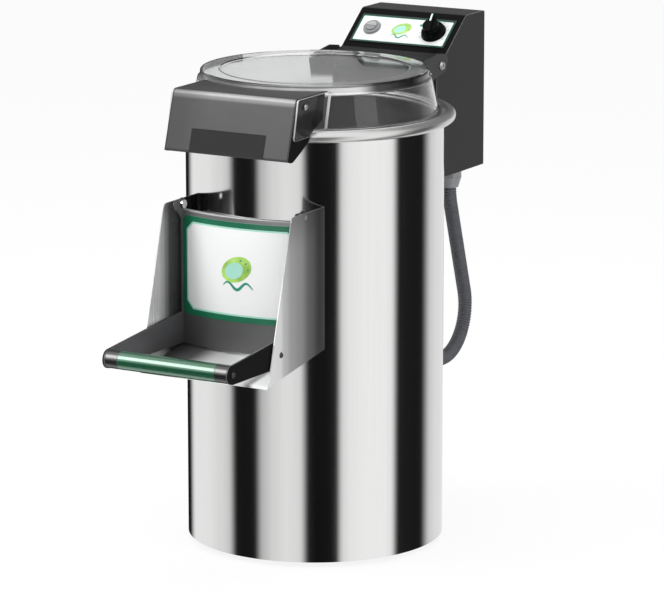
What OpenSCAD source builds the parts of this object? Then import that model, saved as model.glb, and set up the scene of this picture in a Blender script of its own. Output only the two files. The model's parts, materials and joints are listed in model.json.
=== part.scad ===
// Electric potato peeler: drum body, clear lid, discharge chute with a lifting door, rear control box.
// Millimetres. The drum's axis is vertical, the chute faces -Y and the control box stands at +Y.
// Heights are measured from the casing's bottom edge; the feet lift the whole machine off the floor.

/* [Drum] */
// Outer radius of the drum casing
drum_r = 200; // [180:1:225]
// Sheet thickness of the drum casing
drum_t = 2; // [1.5:0.1:2.4]
// Height of the drum casing up to the rim
drum_h = 662.5; // [600:0.5:740]
// Clear height under the casing
foot_h = 8; // [6:1:30]
// Radius of a foot at the top
foot_r = 20; // [16:1:26]
// Distance of the feet's circle inside the casing's radius
foot_in = 65; // [50:1:80]
// Thickness of the base plate
base_t = 3; // [2:0.5:5]
// Height of the base plate over the casing's bottom edge
base_up = 4; // [2:0.5:8]
// Height of the base plate's turned-up skirt
base_skirt = 22; // [12:1:30]

/* [Rim] */
// Thickness of the rim flange
rim_t = 3.5; // [2.5:0.5:4.5]
// Radius of the rolled bead at the rim's outer edge
bead_r = 9; // [7:0.5:10]
// How far the bead stands out beyond the casing
bead_out = 17.6; // [14:0.2:18.5]

/* [Chamber] */
// Air gap between the casing and the peeling chamber
chamber_gap = 10; // [8.5:0.5:12]
// Sheet thickness of the peeling chamber
chamber_t = 2; // [1.5:0.1:2.5]
// Height of the chamber's underside
chamber_z = 285; // [280:1:310]
// Thickness of the abrasive lining
lining_t = 2.5; // [2:0.1:3]
// Depth of the lining's upper edge below the rim
lining_down = 66.5; // [50:0.5:90]
// Number of upright ribs on the lining
lining_ribs = 5; // [3:1:7]
// Radius of a lining rib
lining_rib_r = 4; // [3:0.5:5]

/* [Peeling plate] */
// Running gap between the peeling plate and the lining
plate_gap = 4.5; // [3:0.5:8]
// Height of the peeling plate's underside over the chamber's floor
plate_up = 45; // [42:0.5:50]
// Thickness of the peeling plate between its waves
plate_t = 7; // [5:0.5:9]
// Height of the waves on the peeling plate
wave_h = 13; // [8:0.5:18]
// Number of waves on the peeling plate
wave_n = 3; // [2:1:5]
// Radius of the hub disc under the plate
hub_r = 46; // [38:1:56]
// Thickness of the hub disc
hub_t = 12; // [8:1:14]
// Wall of the hub boss round the shaft
boss_wall = 9; // [6:0.5:10]
// Number of sweeping blades under the plate
blade_n = 3; // [2:1:5]
// Thickness of a sweeping blade
blade_t = 5; // [3:0.5:8]

/* [Drive] */
// Radius of the plate's shaft
shaft_r = 10; // [8:0.5:12]
// Radial depth of a shaft bearing
bearing_d = 13.5; // [11:0.5:15]
// Width of a bearing
bearing_w = 14; // [12:1:16]
// Width of the shaft seal
seal_w = 7; // [5:1:8]
// Wall round the bearings
housing_wall = 9; // [6:1:12]
// Length of the bearing housing
housing_l = 96; // [80:1:110]
// Height of the belt's middle
belt_z = 58; // [50:1:66]
// Width of the flat ribbed belt
belt_w = 14; // [10:1:16]
// Thickness of the belt
belt_t = 4; // [3:0.5:4.5]
// Radius of the motor pulley's tread
motor_pulley_r = 22; // [18:1:26]
// Gap between the flanges of the two pulleys
pulley_space = 2; // [1:0.5:4]
// Gap between the motor and the casing
motor_gap = 9; // [6:0.5:12]
// Radius of the motor's body
motor_r = 56; // [48:1:62]
// Length of the motor's body
motor_l = 160; // [130:1:175]
// Radius of the motor's shaft
motor_shaft_r = 9.5; // [7:0.5:10.5]
// Height of the motor's flange face over the belt's middle
motor_up = 28; // [26:1:34]

/* [Outlet] */
// Distance of the outlet's side from the door's side frame
outlet_side = 23.5; // [18:0.5:30]
// Height of the outlet's lower edge over the peeling plate's underside
outlet_up = 16; // [14:0.5:20]
// Height of the outlet
outlet_h = 173; // [150:1:190]
// Sheet thickness of the outlet throat
throat_t = 2; // [1.5:0.1:2.5]

/* [Chute] */
// Inner face of each cheek, from the middle
cheek_half = 110.3; // [100:0.1:120]
// Sheet thickness of the cheeks and the chute floor
cheek_t = 1.5; // [1.2:0.1:2.5]
// Height of the cheeks' top edge over the door's pivots
cheek_up = 7; // [6:0.5:14]
// Forward reach of the cheeks at the top, beyond the casing
reach_top = 64; // [50:1:75]
// Forward reach of the cheeks and the floor at the bottom, beyond the casing
reach_low = 135; // [120:1:145]
// Depth of the floor's back edge below the outlet
floor_drop = 11; // [9:0.5:14]
// Fall of the floor from the back edge to the front lip
floor_fall = 25; // [20:1:34]
// Distance inside the casing's radius at which the floor's back height is taken
floor_in = 34; // [30:1:40]

/* [Door] */
// Distance of the door's pivots beyond the casing
axle_out = 22; // [20:1:26]
// Height of the door's pivots over the outlet
axle_up = 27; // [25:0.5:31]
// Radius of a pivot pin
axle_r = 4; // [3:0.5:5]
// Distance of the door panel's front beyond the casing, at the middle
door_out = 38; // [34:0.5:42]
// Radius that the door panel is curved to
door_curve = 320; // [280:1:420]
// Sheet thickness of the door
door_t = 1.5; // [1.2:0.1:2]
// Depth of the door panel's lower edge below the outlet
door_low = 16; // [12:0.5:17]
// Gap from the door panel's rolled upper edge to the pivots' axis
door_high = 7; // [6.5:0.5:9]
// Radius of the rolled edge on top of the door panel
door_roll = 3; // [2:0.5:4]
// Sheet thickness of the door's side frames
frame_t = 2; // [1.5:0.1:2.5]
// Gap between a side frame and the cheek beside it
frame_gap = 3.8; // [3.5:0.1:5]
// Thickness of the door label
label_t = 0.8; // [0.4:0.1:1.2]
// Margin from the label to the panel's sides
label_side = 0.5; // [0.5:0.5:10]
// Height of the label's lower edge over the panel's lower edge
label_low = 47; // [38:1:58]
// Depth of the label's upper edge below the panel's straight part
label_high = 5; // [4:0.5:18]
// Overlap of the door's seal round the outlet
seal_lap = 11; // [8:0.5:12]
// Thickness of the door's seal
seal_t = 2.6; // [2:0.1:3.2]

/* [Handle] */
// Distance of the handle bar beyond the casing
bar_out = 229.5; // [210:0.5:250]
// Height of the handle bar's middle over the outlet's lower edge
bar_up = 2; // [-4:1:8]
// Radius of the handle bar
bar_r = 14; // [11:0.5:15]
// How much larger the arms' rounded ends are than the bar
arm_end = 0.5; // [0.5:0.5:2.5]
// Length of a bare sleeve at each end of the bar
sleeve_l = 21; // [12:0.5:40]
// Wall of the coloured tube
tube_wall = 2; // [1:0.5:3]
// Thickness of the covers on the arms' outer faces
cover_t = 2.2; // [1.6:0.1:2.6]
// Distance from the door's pivots to the rear end of the arm covers
cover_in = 40; // [30:1:70]

/* [Lid] */
// Distance of the lid's foot inside the casing's radius
lid_inset = 9.4; // [8:0.2:12]
// Distance of the lid's raised top inside its foot
lid_taper = 13.6; // [12:0.2:18]
// Height of the lid's top over the casing
lid_h = 72; // [69.5:0.5:74]
// Wall of the clear lid
lid_t = 3; // [2:0.5:4]
// Width of the lid's foot flange
lid_flange = 5; // [4:0.5:6]
// Height of the raised top over the shoulder
lid_plateau = 11; // [8:0.5:13]
// Width of the shoulder round the raised top
lid_shoulder = 3; // [2:0.5:5]
// Width of the level band round the sunk middle of the top
lid_band = 32; // [20:1:50]
// Depth of the sunk middle
lid_sink = 2; // [1:0.5:3]
// Thickness of the lid's seal
lid_seal_t = 1.7; // [1:0.1:2]
// Outer face of each side wall of the lid, from the middle
wing_half = 110; // [104:0.1:116]
// Wall of the lid's side walls
wing_t = 2.5; // [2:0.1:4]

/* [Hood] */
// Gap between the hood and the lid's side walls
hood_gap = 0.3; // [0.2:0.1:1]
// Sheet thickness of the hood
hood_t = 2; // [1.5:0.1:2]
// Height of the hood's top over the casing
hood_up = 65.5; // [62:0.5:67.5]
// Forward reach of the hood's top edge beyond the casing
crease_out = 40; // [36:1:46]
// Forward reach of the hood's lower edge beyond the casing
hood_out = 68; // [62:1:76]
// Depth of the hood's lower edge below the casing's top
hood_down = 24.5; // [20:0.5:32]
// Half width of the blank recess on the hood's front
recess_half = 64.5; // [50:0.5:80]
// Height of the recess along the hood's front
recess_h = 37; // [25:1:45]
// Depth of the recess
recess_d = 0.7; // [0.3:0.1:0.9]

/* [Lid hinge] */
// Distance of the lid's pivots behind the control box's front
pivot_in = 8.4; // [7:0.2:11]
// Height of the lid's pivots over the casing
pivot_up = 50; // [48:0.5:51.5]
// Radius of a pivot screw's shoulder
pivot_r = 4; // [3:0.5:4.5]
// Thickness of the hinge arms and strap
hinge_t = 3; // [2:0.2:3.6]
// Gap between the hinge arms and the control box
hinge_gap = 1.3; // [0.8:0.1:2]
// Height of a hinge arm at its pivot
hinge_h = 37; // [33:0.5:39]

/* [Control box] */
// Half width of the control box
box_half = 94.5; // [84:0.5:106]
// Sheet thickness of the control box
box_t = 2; // [1.5:0.1:2.5]
// Distance of the box's front beyond the casing
box_out = 22; // [20:0.5:25]
// Depth of the box from front to back
box_d = 162.5; // [150:0.5:180]
// Height of the box
box_h = 251; // [230:1:280]
// Height of the box's top over the casing
box_up = 118.5; // [112:0.5:128]
// Distance of the panel slope's lower edge behind the box's front
slope_in = 30; // [26:1:34]
// Run of the panel slope from front to back
slope_run = 68; // [62:1:74]
// Rise of the panel slope
slope_rise = 54; // [50:1:57]
// Fall from the panel slope to the box's front edge
nose_fall = 7; // [4:1:9]
// Thickness of the box's rear cover
rear_t = 1.5; // [1:0.1:2.5]
// Margin from the rear cover to the box's sides
rear_side = 8.5; // [5:0.5:14]

/* [Controls] */
// Margin from the control panel plate to the box's sides
panel_side = 9.5; // [6:0.5:14]
// Start of the control panel plate along the slope
panel_s0 = 12; // [8:1:16]
// Length of the control panel plate along the slope
panel_l = 60; // [54:1:64]
// Thickness of the control panel plate
panel_t = 1.2; // [0.8:0.1:2]
// Distance of the push buttons from the box's side
button_side = 37.5; // [34:0.5:46]
// Outer radius of the button bezel
bezel_r = 15; // [14:0.5:17]
// Radius of the round pair of push buttons
button_r = 9.3; // [8:0.1:10]
// Travel of a push button
button_travel = 3; // [2:0.5:4]
// Distance of the timer knob from the box's side
knob_side = 39.5; // [34:0.5:46]
// Radius of the timer knob's skirt
knob_r = 21; // [18:0.5:23]
// Height of the timer knob
knob_h = 23; // [18:1:28]
// Radius of the timer's shaft
timer_shaft_r = 3; // [2.5:0.5:4]
// Distance of the controls from the panel plate's lower edge
control_up = 31; // [28:1:34]
// Width of the contactor
contactor_w = 46; // [36:1:56]
// Height of the contactor's rail plate
contactor_h = 90; // [75:1:110]
// Depth of the contactor in front of its rail plate
contactor_d = 60; // [45:1:75]

/* [Services] */
// Distance of the conduit from the box's side
conduit_side = 19.5; // [18:0.5:24]
// Distance of the conduit's upper end behind the box's front
conduit_in = 82; // [74:1:92]
// Radius of the conduit
conduit_r = 11.5; // [9:0.5:12]
// Height at which the conduit enters the casing
conduit_z = 225; // [200:1:245]
// Radius of the conduit's upper bend
bend_r1 = 100; // [80:1:120]
// Radius of the conduit's lower bend
bend_r2 = 75; // [60:1:84]
// Lean of the conduit away from the casing, in degrees
conduit_lean = 18; // [12:1:20]
// Outer radius of the drain pipe
drain_r = 20; // [16:0.5:21]
// Wall of the drain pipe
drain_wall = 2; // [1.5:0.1:3]
// Reach of the drain pipe beyond the casing
drain_out = 60; // [40:1:90]
// Place of the drain round the casing, in degrees from the back
drain_angle = 0; // [-8:1:30]
// Outer radius of the water inlet's hose tail
inlet_r = 9.5; // [7:0.5:10.5]
// Length of the water inlet's hose tail
inlet_l = 32; // [25:1:45]
// Place of the water inlet round the casing, in degrees from the back
inlet_angle = 42; // [40:1:60]
// Depth of the water inlet below the rim
inlet_down = 38.5; // [34:0.5:46]

/* [Hidden] */
$fn = 96;
// Running clearance of a pin, shaft or plunger in its bore
run = 0.05;
// Gap between pieces that are seated but not fused
seat = 0.2;
// Gap between pieces that pass each other when they move
pass = 0.4;

// Drum and chamber
chamber_r = drum_r - drum_t - chamber_gap;
chamber_in = chamber_r - chamber_t;
floor_top = chamber_z + chamber_t;
rim_top = drum_h + rim_t;
rim_bottom = drum_h - bead_r;
bead_c = drum_r + bead_out - bead_r;
foot_ring_r = drum_r - foot_in;
lining_in = chamber_in - lining_t - seat;
lining_top = drum_h - lining_down;

// Plate and drive
plate_r = lining_in - plate_gap;
plate_z = floor_top + plate_up;
hub_z = plate_z - hub_t;
boss_r = shaft_r + boss_wall;
boss_z = floor_top + 4;
bearing_r = shaft_r + bearing_d;
housing_z = chamber_z - housing_l;
pulley_w = belt_w + 2 * pass + 5;
flange_r = belt_t + 1;
motor_z = belt_z + motor_up;
motor_plate_t = 5;
motor_fin_r = motor_r + 3;
motor_bore_l = 60;
motor_off = drum_r - drum_t - motor_gap - motor_fin_r;
pulley_r = motor_off - motor_pulley_r - 2 * flange_r - pulley_space;
cradle_in = motor_fin_r + 2;
cradle_t = 4;

// Outlet, chute and door
outlet_z0 = plate_z + outlet_up;
outlet_z1 = outlet_z0 + outlet_h;
frame_out = cheek_half - frame_gap;
frame_half = frame_out - frame_t;
outlet_half = frame_half - outlet_side;
axle_y = drum_r + axle_out;
axle_z = outlet_z1 + axle_up;
pivot_end = cheek_half + cheek_t;
cheek_top = axle_z + cheek_up;
cheek_reach_top = drum_r + reach_top;
cheek_reach_low = drum_r + reach_low;
floor_back_y = drum_r - floor_in;
floor_back_z = outlet_z0 - floor_drop;
floor_front_z = floor_back_z - floor_fall;
floor_slope = floor_fall / (cheek_reach_low - floor_back_y);
catch_y = cheek_reach_low - 38;
catch_z = floor_back_z + 16;
catch_r = 2.5;
door_front = drum_r + door_out;
door_center_y = door_curve - door_front;
door_z0 = outlet_z0 - door_low;
door_z1 = axle_z - door_high - door_roll;
label_z0 = door_z0 + label_low;
label_z1 = door_z1 - label_high;
pad_r = drum_r + 0.4 + seal_t;

// Handle
bar_y = drum_r + bar_out;
bar_z = outlet_z0 + bar_up;
arm_end_r = bar_r + arm_end;
tube_half = frame_half - sleeve_l;
cover_y = axle_y + cover_in;

// Lid and hood
lid_z0 = rim_top + lid_seal_t + 0.3;
lid_base_r = drum_r - lid_inset;
lid_top_r = lid_base_r - lid_taper;
lid_top_z = drum_h + lid_h;
lid_ring_r = lid_top_r - lid_band;
skirt_top_r = lid_top_r + lid_shoulder + 1;
shoulder_z = lid_top_z - lid_plateau;
wing_in = wing_half - wing_t;
wing_z0 = drum_h + bead_r + 1;
hood_half = wing_in - hood_gap;
hood_z0 = drum_h - hood_down;
hood_z1 = drum_h + hood_up;
hood_crease = drum_r + crease_out;
hood_low = drum_r + hood_out;
hood_screw_y = hood_crease - 21;
hood_screw_z = hood_z1 - 14;

// Control box and lid hinge
box_front = drum_r + box_out;
box_back = box_front + box_d;
box_z1 = drum_h + box_up;
box_z0 = box_z1 - box_h;
slope_y0 = box_front + slope_in;
slope_y1 = slope_y0 + slope_run;
slope_z0 = box_z1 - slope_rise;
slope_a = atan2(slope_rise, slope_run);
nose_z = slope_z0 - nose_fall;
rear_half = box_half - rear_side;
pivot_y = box_front + pivot_in;
pivot_z = drum_h + pivot_up;
hinge_in = box_half + hinge_gap;
strap_z0 = pivot_z - 0.66 * hinge_h;
strap_z1 = shoulder_z - 4;
strap_screw_z = pivot_z - 0.2 * hinge_h;
strap_screw_a = 20;

// Controls
panel_half = box_half - panel_side;
panel_s1 = panel_s0 + panel_l;
control_s = panel_s0 + control_up;
button_x = box_half - button_side;
knob_x = box_half - knob_side;
bezel_h = 4;
barrel_l = 16;
screw_head_h = 2;

// Services
conduit_x = box_half - conduit_side;
conduit_y = box_front + conduit_in;
gland_l = 22;
conduit_top = box_z0 - gland_l - 4;
wall_y = sqrt(drum_r * drum_r - conduit_x * conduit_x);
mains_x = -conduit_x + 15;
mains_r = 8;
drain_z = floor_top + drain_r + 2;
inlet_z = drum_h - inlet_down;

// Place of the whole machine over its origin
front_reach = bar_y + arm_end_r;
back_reach = box_back + rear_t + screw_head_h;
y_shift = (front_reach - back_reach) / 2;

// ---------- geometry helpers ----------

function unit(v) = v / norm(v);
function left(v) = [-v[1], v[0]];

// Corner p between a and b, softened over a length d on each side.
function soft(a, p, b, d, n = 4) = [
    for (k = [0 : n])
        let (t = k / n)
        (1 - t) * (1 - t) * (p + d * unit(a - p)) + 2 * t * (1 - t) * p + t * t * (p + d * unit(b - p))
];

// Closed outline moved inwards by d; the points run anticlockwise.
function inset(pts, d) = let (n = len(pts)) [
    for (i = [0 : n - 1])
        let (a = left(unit(pts[i] - pts[(i + n - 1) % n])), b = left(unit(pts[(i + 1) % n] - pts[i])))
        pts[i] + d * (a + b) / (1 + a * b)
];

// Open line moved to its left by t.
function shifted(line, t) = let (n = len(line)) [
    for (i = [0 : n - 1])
        let (a = left(unit(line[max(i, 1)] - line[max(i, 1) - 1])))
        let (b = left(unit(line[min(i + 1, n - 1)] - line[min(i + 1, n - 1) - 1])))
        line[i] + t * (a + b) / (1 + a * b)
];

// Section of a sheet of thickness t that lies to the left of a line.
function sheet(line, t) = let (other = shifted(line, t)) concat(
    line, [for (i = [len(other) - 1 : -1 : 0]) other[i]]
);

// Puts the drum's frame on the floor, with the origin under the middle of the whole machine.
module place() {
    translate([0, y_shift, foot_h]) children();
}

module both_sides() {
    children();
    mirror([1, 0, 0]) children();
}

// Extrudes an outline drawn in Y and Z from x0 to x1.
module slab(x0, x1) {
    translate([x0, 0, 0]) rotate([90, 0, 90]) linear_extrude(x1 - x0) children();
}

module ring(r_out, r_in, z0, z1) {
    translate([0, 0, z0]) difference() {
        cylinder(r = r_out, h = z1 - z0);
        translate([0, 0, -1]) cylinder(r = r_in, h = z1 - z0 + 2);
    }
}

// Local Z points outwards from the drum's axis, at an angle from the back.
module radial(angle, z) {
    translate([0, 0, z]) rotate([0, 0, angle]) rotate([-90, 0, 0]) children();
}

// Local XY is the panel slope, local Z points out of it.
module on_slope(x, s) {
    translate([x, slope_y0 + s * cos(slope_a), slope_z0 + s * sin(slope_a)])
        rotate([slope_a, 0, 0]) children();
}

// Block that stands for the outlet, grown by o on each side.
module outlet_block(o) {
    translate([-outlet_half - o, -2 * drum_r, outlet_z0 - o])
        cube([2 * (outlet_half + o), 2 * drum_r, outlet_h + 2 * o]);
}

// Room that the casing fills, grown by o.
module drum_room(o) {
    translate([0, 0, -foot_h]) cylinder(r = drum_r + o, h = drum_h + 100);
}

function arc(c, r, a0, a1, n) = [
    for (k = [0 : n])
        let (a = a0 + (a1 - a0) * k / n)
        [c + r * cos(a), r * sin(a)]
];

// Outline of a band round two circles on one line, the second at distance d.
function band(r1, r2, d) = let (b = acos((r1 - r2) / d)) concat(
    arc(0, r1, b, 360 - b, 48), arc(d, r2, -b, b, 16)
);

// Round-headed screw along local Z: the head's underside is at 0, the shank goes down.
module screw(r, l) {
    translate([0, 0, -l]) cylinder(r = r, h = l + 0.5);
    difference() {
        cylinder(r1 = 1.9 * r, r2 = 1.3 * r, h = screw_head_h);
        translate([0, 0, screw_head_h / 2]) cylinder(r = 0.7 * r, h = screw_head_h, $fn = 6);
    }
}

// ---------- drum ----------

module base_plate() {
    vent = 8;
    color("dimgray") place() difference() {
        union() {
            ring(drum_r - drum_t - seat, drum_r - drum_t - seat - base_t, base_up, base_up + base_skirt);
            translate([0, 0, base_up]) cylinder(r = drum_r - drum_t - seat, h = base_t);
        }
        for (i = [0 : 3], k = [-2 : 2])
            rotate([0, 0, 90 * i]) translate([k * 2.5 * vent - vent / 2, 60, base_up - 1])
                cube([vent, 70, base_t + 2]);
    }
}

module feet() {
    color("black") place() for (a = [45 : 90 : 315])
        rotate([0, 0, a]) translate([foot_ring_r, 0, -foot_h])
            cylinder(r1 = foot_r - 3, r2 = foot_r, h = foot_h + base_up - run);
}

module outer_casing() {
    color("silver") place() difference() {
        ring(drum_r, drum_r - drum_t, 0, drum_h);
        outlet_block(throat_t + seat);
        translate([conduit_x, 0, conduit_z]) rotate([-90, 0, 0])
            cylinder(r = conduit_r + 1.2, h = drum_r + 10);
        radial(drain_angle, drain_z) cylinder(r = drain_r + seat, h = drum_r + 10);
        radial(inlet_angle, inlet_z) cylinder(r = inlet_r + 1 + seat, h = drum_r + 10);
    }
}

module rim_ring() {
    color("gainsboro") place() rotate_extrude() {
        translate([chamber_in, drum_h]) square([bead_c - chamber_in, rim_t]);
        difference() {
            translate([bead_c, drum_h]) circle(r = bead_r);
            translate([chamber_in, drum_h - 2 * bead_r]) square([drum_r + seat - chamber_in, 2 * bead_r]);
        }
    }
}

// ---------- peeling chamber ----------

module peeling_chamber() {
    color("silver") place() difference() {
        union() {
            ring(chamber_r, chamber_in, chamber_z, drum_h);
            ring(drum_r - drum_t - seat, chamber_r, drum_h - chamber_t, drum_h);
            translate([0, 0, chamber_z]) cylinder(r = chamber_r, h = chamber_t);
        }
        translate([0, 0, chamber_z - 1]) cylinder(r = bearing_r, h = chamber_t + 2);
        outlet_block(throat_t + seat);
        radial(drain_angle, drain_z) cylinder(r = drain_r + seat, h = drum_r);
        radial(inlet_angle, inlet_z) cylinder(r = inlet_r + 1 + seat, h = drum_r);
    }
}

module abrasive_lining() {
    step = 360 / (lining_ribs + 1);
    r_out = chamber_in - seat;
    color("darkslategray") place() difference() {
        union() {
            ring(r_out, lining_in, plate_z, lining_top);
            intersection() {
                for (i = [1 : lining_ribs])
                    rotate([0, 0, step * i - 90]) translate([lining_in, 0, outlet_z0 + 10])
                        cylinder(r = lining_rib_r, h = lining_top - outlet_z0 - 30, $fn = 32);
                translate([0, 0, plate_z]) cylinder(r = r_out - lining_t / 2, h = lining_top);
            }
        }
        outlet_block(throat_t + seat);
    }
}

module outlet_throat() {
    color("silver") place() difference() {
        intersection() {
            ring(drum_r, lining_in, outlet_z0 - 20, outlet_z1 + 20);
            outlet_block(throat_t);
        }
        outlet_block(0);
    }
}

// ---------- peeling plate and drive ----------

// Height of the plate's top over its underside, at a fraction u of the radius and an angle a.
function plate_top(u, a) =
    let (rise = min(1, max(0, (u - 0.2) / 0.42)))
    plate_t + wave_h * (3 - 2 * rise) * rise * rise * pow((1 + cos(wave_n * a)) / 2, 2);

module abrasive_plate() {
    r0 = shaft_r + 3;
    rings = 10;
    sides = 72;
    top = [
        for (i = [0 : rings], j = [0 : sides - 1])
            let (r = r0 + (plate_r - r0) * i / rings, a = 360 * j / sides)
            [r * cos(a), r * sin(a), plate_top(r / plate_r, a)]
    ];
    bottom = [
        for (r = [r0, plate_r], j = [0 : sides - 1])
            let (a = 360 * j / sides)
            [r * cos(a), r * sin(a), 0]
    ];
    low = len(top);
    upper_faces = [
        for (i = [0 : rings - 1], j = [0 : sides - 1])
            let (k = (j + 1) % sides, p = i * sides, q = p + sides)
            each [[p + j, q + k, q + j], [p + j, p + k, q + k]]
    ];
    side_faces = [
        for (j = [0 : sides - 1])
            let (k = (j + 1) % sides, rim = rings * sides, out = low + sides)
            each [
                [rim + j, rim + k, out + k, out + j],
                [k, j, low + j, low + k],
                [low + j, out + j, out + k, low + k]
            ]
    ];
    color("slategray") place() translate([0, 0, plate_z])
        polyhedron(concat(top, bottom), concat(upper_faces, side_faces));
}

module plate_hub() {
    color("lightgray") place() difference() {
        union() {
            translate([0, 0, hub_z]) cylinder(r = hub_r, h = hub_t);
            translate([0, 0, boss_z]) cylinder(r = boss_r, h = hub_z - boss_z + 1);
            for (i = [0 : blade_n - 1])
                rotate([0, 0, 360 * i / blade_n]) translate([boss_r - 3, -blade_t / 2, boss_z])
                    cube([plate_r - boss_r - 6, blade_t, plate_z - boss_z]);
        }
        translate([0, 0, boss_z - 1]) cylinder(r = shaft_r + run, h = plate_z - boss_z + 2);
    }
}

module plate_nut() {
    nut_h = 9;
    color("silver") place() translate([0, 0, plate_z + plate_t]) difference() {
        union() {
            cylinder(r = shaft_r + 12, h = 2);
            cylinder(r = shaft_r + 7, h = nut_h, $fn = 6);
            translate([0, 0, nut_h]) cylinder(r1 = shaft_r + 4, r2 = shaft_r - 2, h = 8);
        }
        translate([0, 0, -1]) cylinder(r = shaft_r + run, h = nut_h + 1);
    }
}

module drive_shaft() {
    z0 = belt_z - pulley_w / 2 - 3;
    color("gainsboro") place() translate([0, 0, z0])
        cylinder(r = shaft_r, h = plate_z + plate_t + 8 - z0);
}

module bearing_housing() {
    foot = 8;
    color("gray") place() difference() {
        union() {
            translate([0, 0, housing_z]) cylinder(r = bearing_r + housing_wall, h = housing_l);
            translate([0, 0, chamber_z - foot]) cylinder(r = bearing_r + 2.5 * housing_wall, h = foot);
        }
        translate([0, 0, housing_z - 1]) cylinder(r = bearing_r - 4, h = housing_l + 2);
        translate([0, 0, housing_z - 1]) cylinder(r = bearing_r + run, h = bearing_w + 1);
        translate([0, 0, chamber_z - seal_w - bearing_w])
            cylinder(r = bearing_r + run, h = seal_w + bearing_w + 1);
    }
}

module shaft_bearings() {
    race = 3;
    color("lightgray") place() for (z = [housing_z, chamber_z - seal_w - bearing_w])
        difference() {
            ring(bearing_r, shaft_r + run, z, z + bearing_w);
            for (end = [z - 1, z + bearing_w - 1])
                ring(bearing_r - race, shaft_r + race, end, end + 2);
        }
}

module shaft_seal() {
    color("saddlebrown") place()
        ring(bearing_r, shaft_r + run, chamber_z - seal_w, chamber_z);
}

// Pulley for a flat belt, with a flange on each side of its tread.
module pulley(tread, bore) {
    z0 = belt_z - pulley_w / 2;
    difference() {
        union() {
            translate([0, 0, z0]) cylinder(r = tread, h = pulley_w);
            for (z = [z0, z0 + pulley_w - 2]) translate([0, 0, z]) cylinder(r = tread + flange_r, h = 2);
        }
        translate([0, 0, z0 - 1]) cylinder(r = bore + run, h = pulley_w + 2);
    }
}

module driven_pulley() {
    web = 7;
    color("gray") place() difference() {
        pulley(pulley_r, shaft_r);
        for (s = [-1, 1])
            ring(pulley_r - 10, shaft_r + 16, belt_z + s * web - (s < 0 ? pulley_w : 0),
                 belt_z + s * web + (s < 0 ? 0 : pulley_w));
    }
}

module motor_pulley() {
    color("gray") place() translate([0, -motor_off, 0]) pulley(motor_pulley_r, motor_shaft_r);
}

module motor_shaft() {
    z0 = belt_z - pulley_w / 2 - 2;
    color("gainsboro") place() translate([0, -motor_off, z0])
        cylinder(r = motor_shaft_r, h = motor_z + motor_bore_l - z0);
}

module drive_belt() {
    color("black") place() translate([0, 0, belt_z - belt_w / 2]) rotate([0, 0, -90])
        linear_extrude(belt_w) difference() {
            polygon(band(pulley_r + pass / 2 + belt_t, motor_pulley_r + pass / 2 + belt_t, motor_off));
            polygon(band(pulley_r + pass / 2, motor_pulley_r + pass / 2, motor_off));
        }
}

module motor() {
    fins = 9;
    pitch = (motor_l - 40) / fins;
    color("dimgray") place() translate([0, -motor_off, motor_z]) difference() {
        union() {
            cylinder(r = motor_r, h = motor_l);
            for (i = [0 : fins - 1])
                translate([0, 0, 10 + i * pitch]) cylinder(r = motor_fin_r, h = 3);
            translate([0, 0, motor_l - 28]) cylinder(r = motor_fin_r, h = 28);
            translate([-24, motor_r - 12, 40]) cube([48, 24, 52]);
        }
        translate([0, 0, -1]) cylinder(r = motor_shaft_r + run, h = motor_bore_l + 2);
    }
}

module motor_cradle() {
    reach = 42;
    rear = 58;
    color("gray") place() translate([0, -motor_off, 0]) difference() {
        union() {
            translate([-cradle_in - cradle_t, -reach, motor_z - motor_plate_t])
                cube([2 * (cradle_in + cradle_t), reach + rear, motor_plate_t]);
            both_sides() translate([cradle_in, -reach, motor_z - motor_plate_t])
                cube([cradle_t, reach + rear, chamber_z - motor_z + motor_plate_t]);
            both_sides() translate([cradle_in, -reach + 20, chamber_z - cradle_t])
                cube([22, reach + rear - 20, cradle_t]);
        }
        translate([0, 0, motor_z - motor_plate_t - 1]) cylinder(r = motor_shaft_r + 5, h = motor_plate_t + 2);
    }
}

// ---------- services ----------

module drain_outlet() {
    lip = 8;
    color("darkgray") place() radial(drain_angle, drain_z) difference() {
        union() {
            translate([0, 0, chamber_in]) cylinder(r = drain_r, h = drum_r + drain_out - chamber_in);
            difference() {
                translate([0, 0, drum_r - 14]) cylinder(r = drain_r + lip, h = 18);
                rotate([90, 0, 0]) translate([0, 0, -60]) cylinder(r = drum_r + seat, h = 120);
            }
        }
        translate([0, 0, chamber_in - 1])
            cylinder(r = drain_r - drain_wall, h = drum_r + drain_out - chamber_in + 2);
    }
}

module water_inlet() {
    hex_h = 9;
    bore = inlet_r - 3.5;
    color("goldenrod") place() radial(inlet_angle, inlet_z) difference() {
        union() {
            translate([0, 0, chamber_in - 8]) cylinder(r = inlet_r + 1, h = drum_r + 6 - chamber_in + 8);
            translate([0, 0, drum_r + 1]) cylinder(r = inlet_r + 5, h = hex_h, $fn = 6);
            translate([0, 0, drum_r + 1 + hex_h]) cylinder(r = inlet_r, h = inlet_l);
        }
        translate([0, 0, chamber_in - 9]) cylinder(r = bore, h = drum_r + hex_h + inlet_l);
    }
}

module spray_nozzle() {
    color("gainsboro") place() radial(inlet_angle, inlet_z) translate([0, 0, chamber_in - 8]) {
        difference() {
            translate([0, 0, -8]) cylinder(r = inlet_r, h = 8);
            translate([0, 0, -9]) cylinder(r = 2.5, h = 10);
            translate([-inlet_r - 1, -1.2, -9]) cube([2 * inlet_r + 2, 2.4, 4]);
        }
        difference() {
            translate([0, 0, 1]) cylinder(r = inlet_r + 5, h = 5, $fn = 6);
            cylinder(r = inlet_r + 1 + run, h = 7);
        }
    }
}

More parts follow.
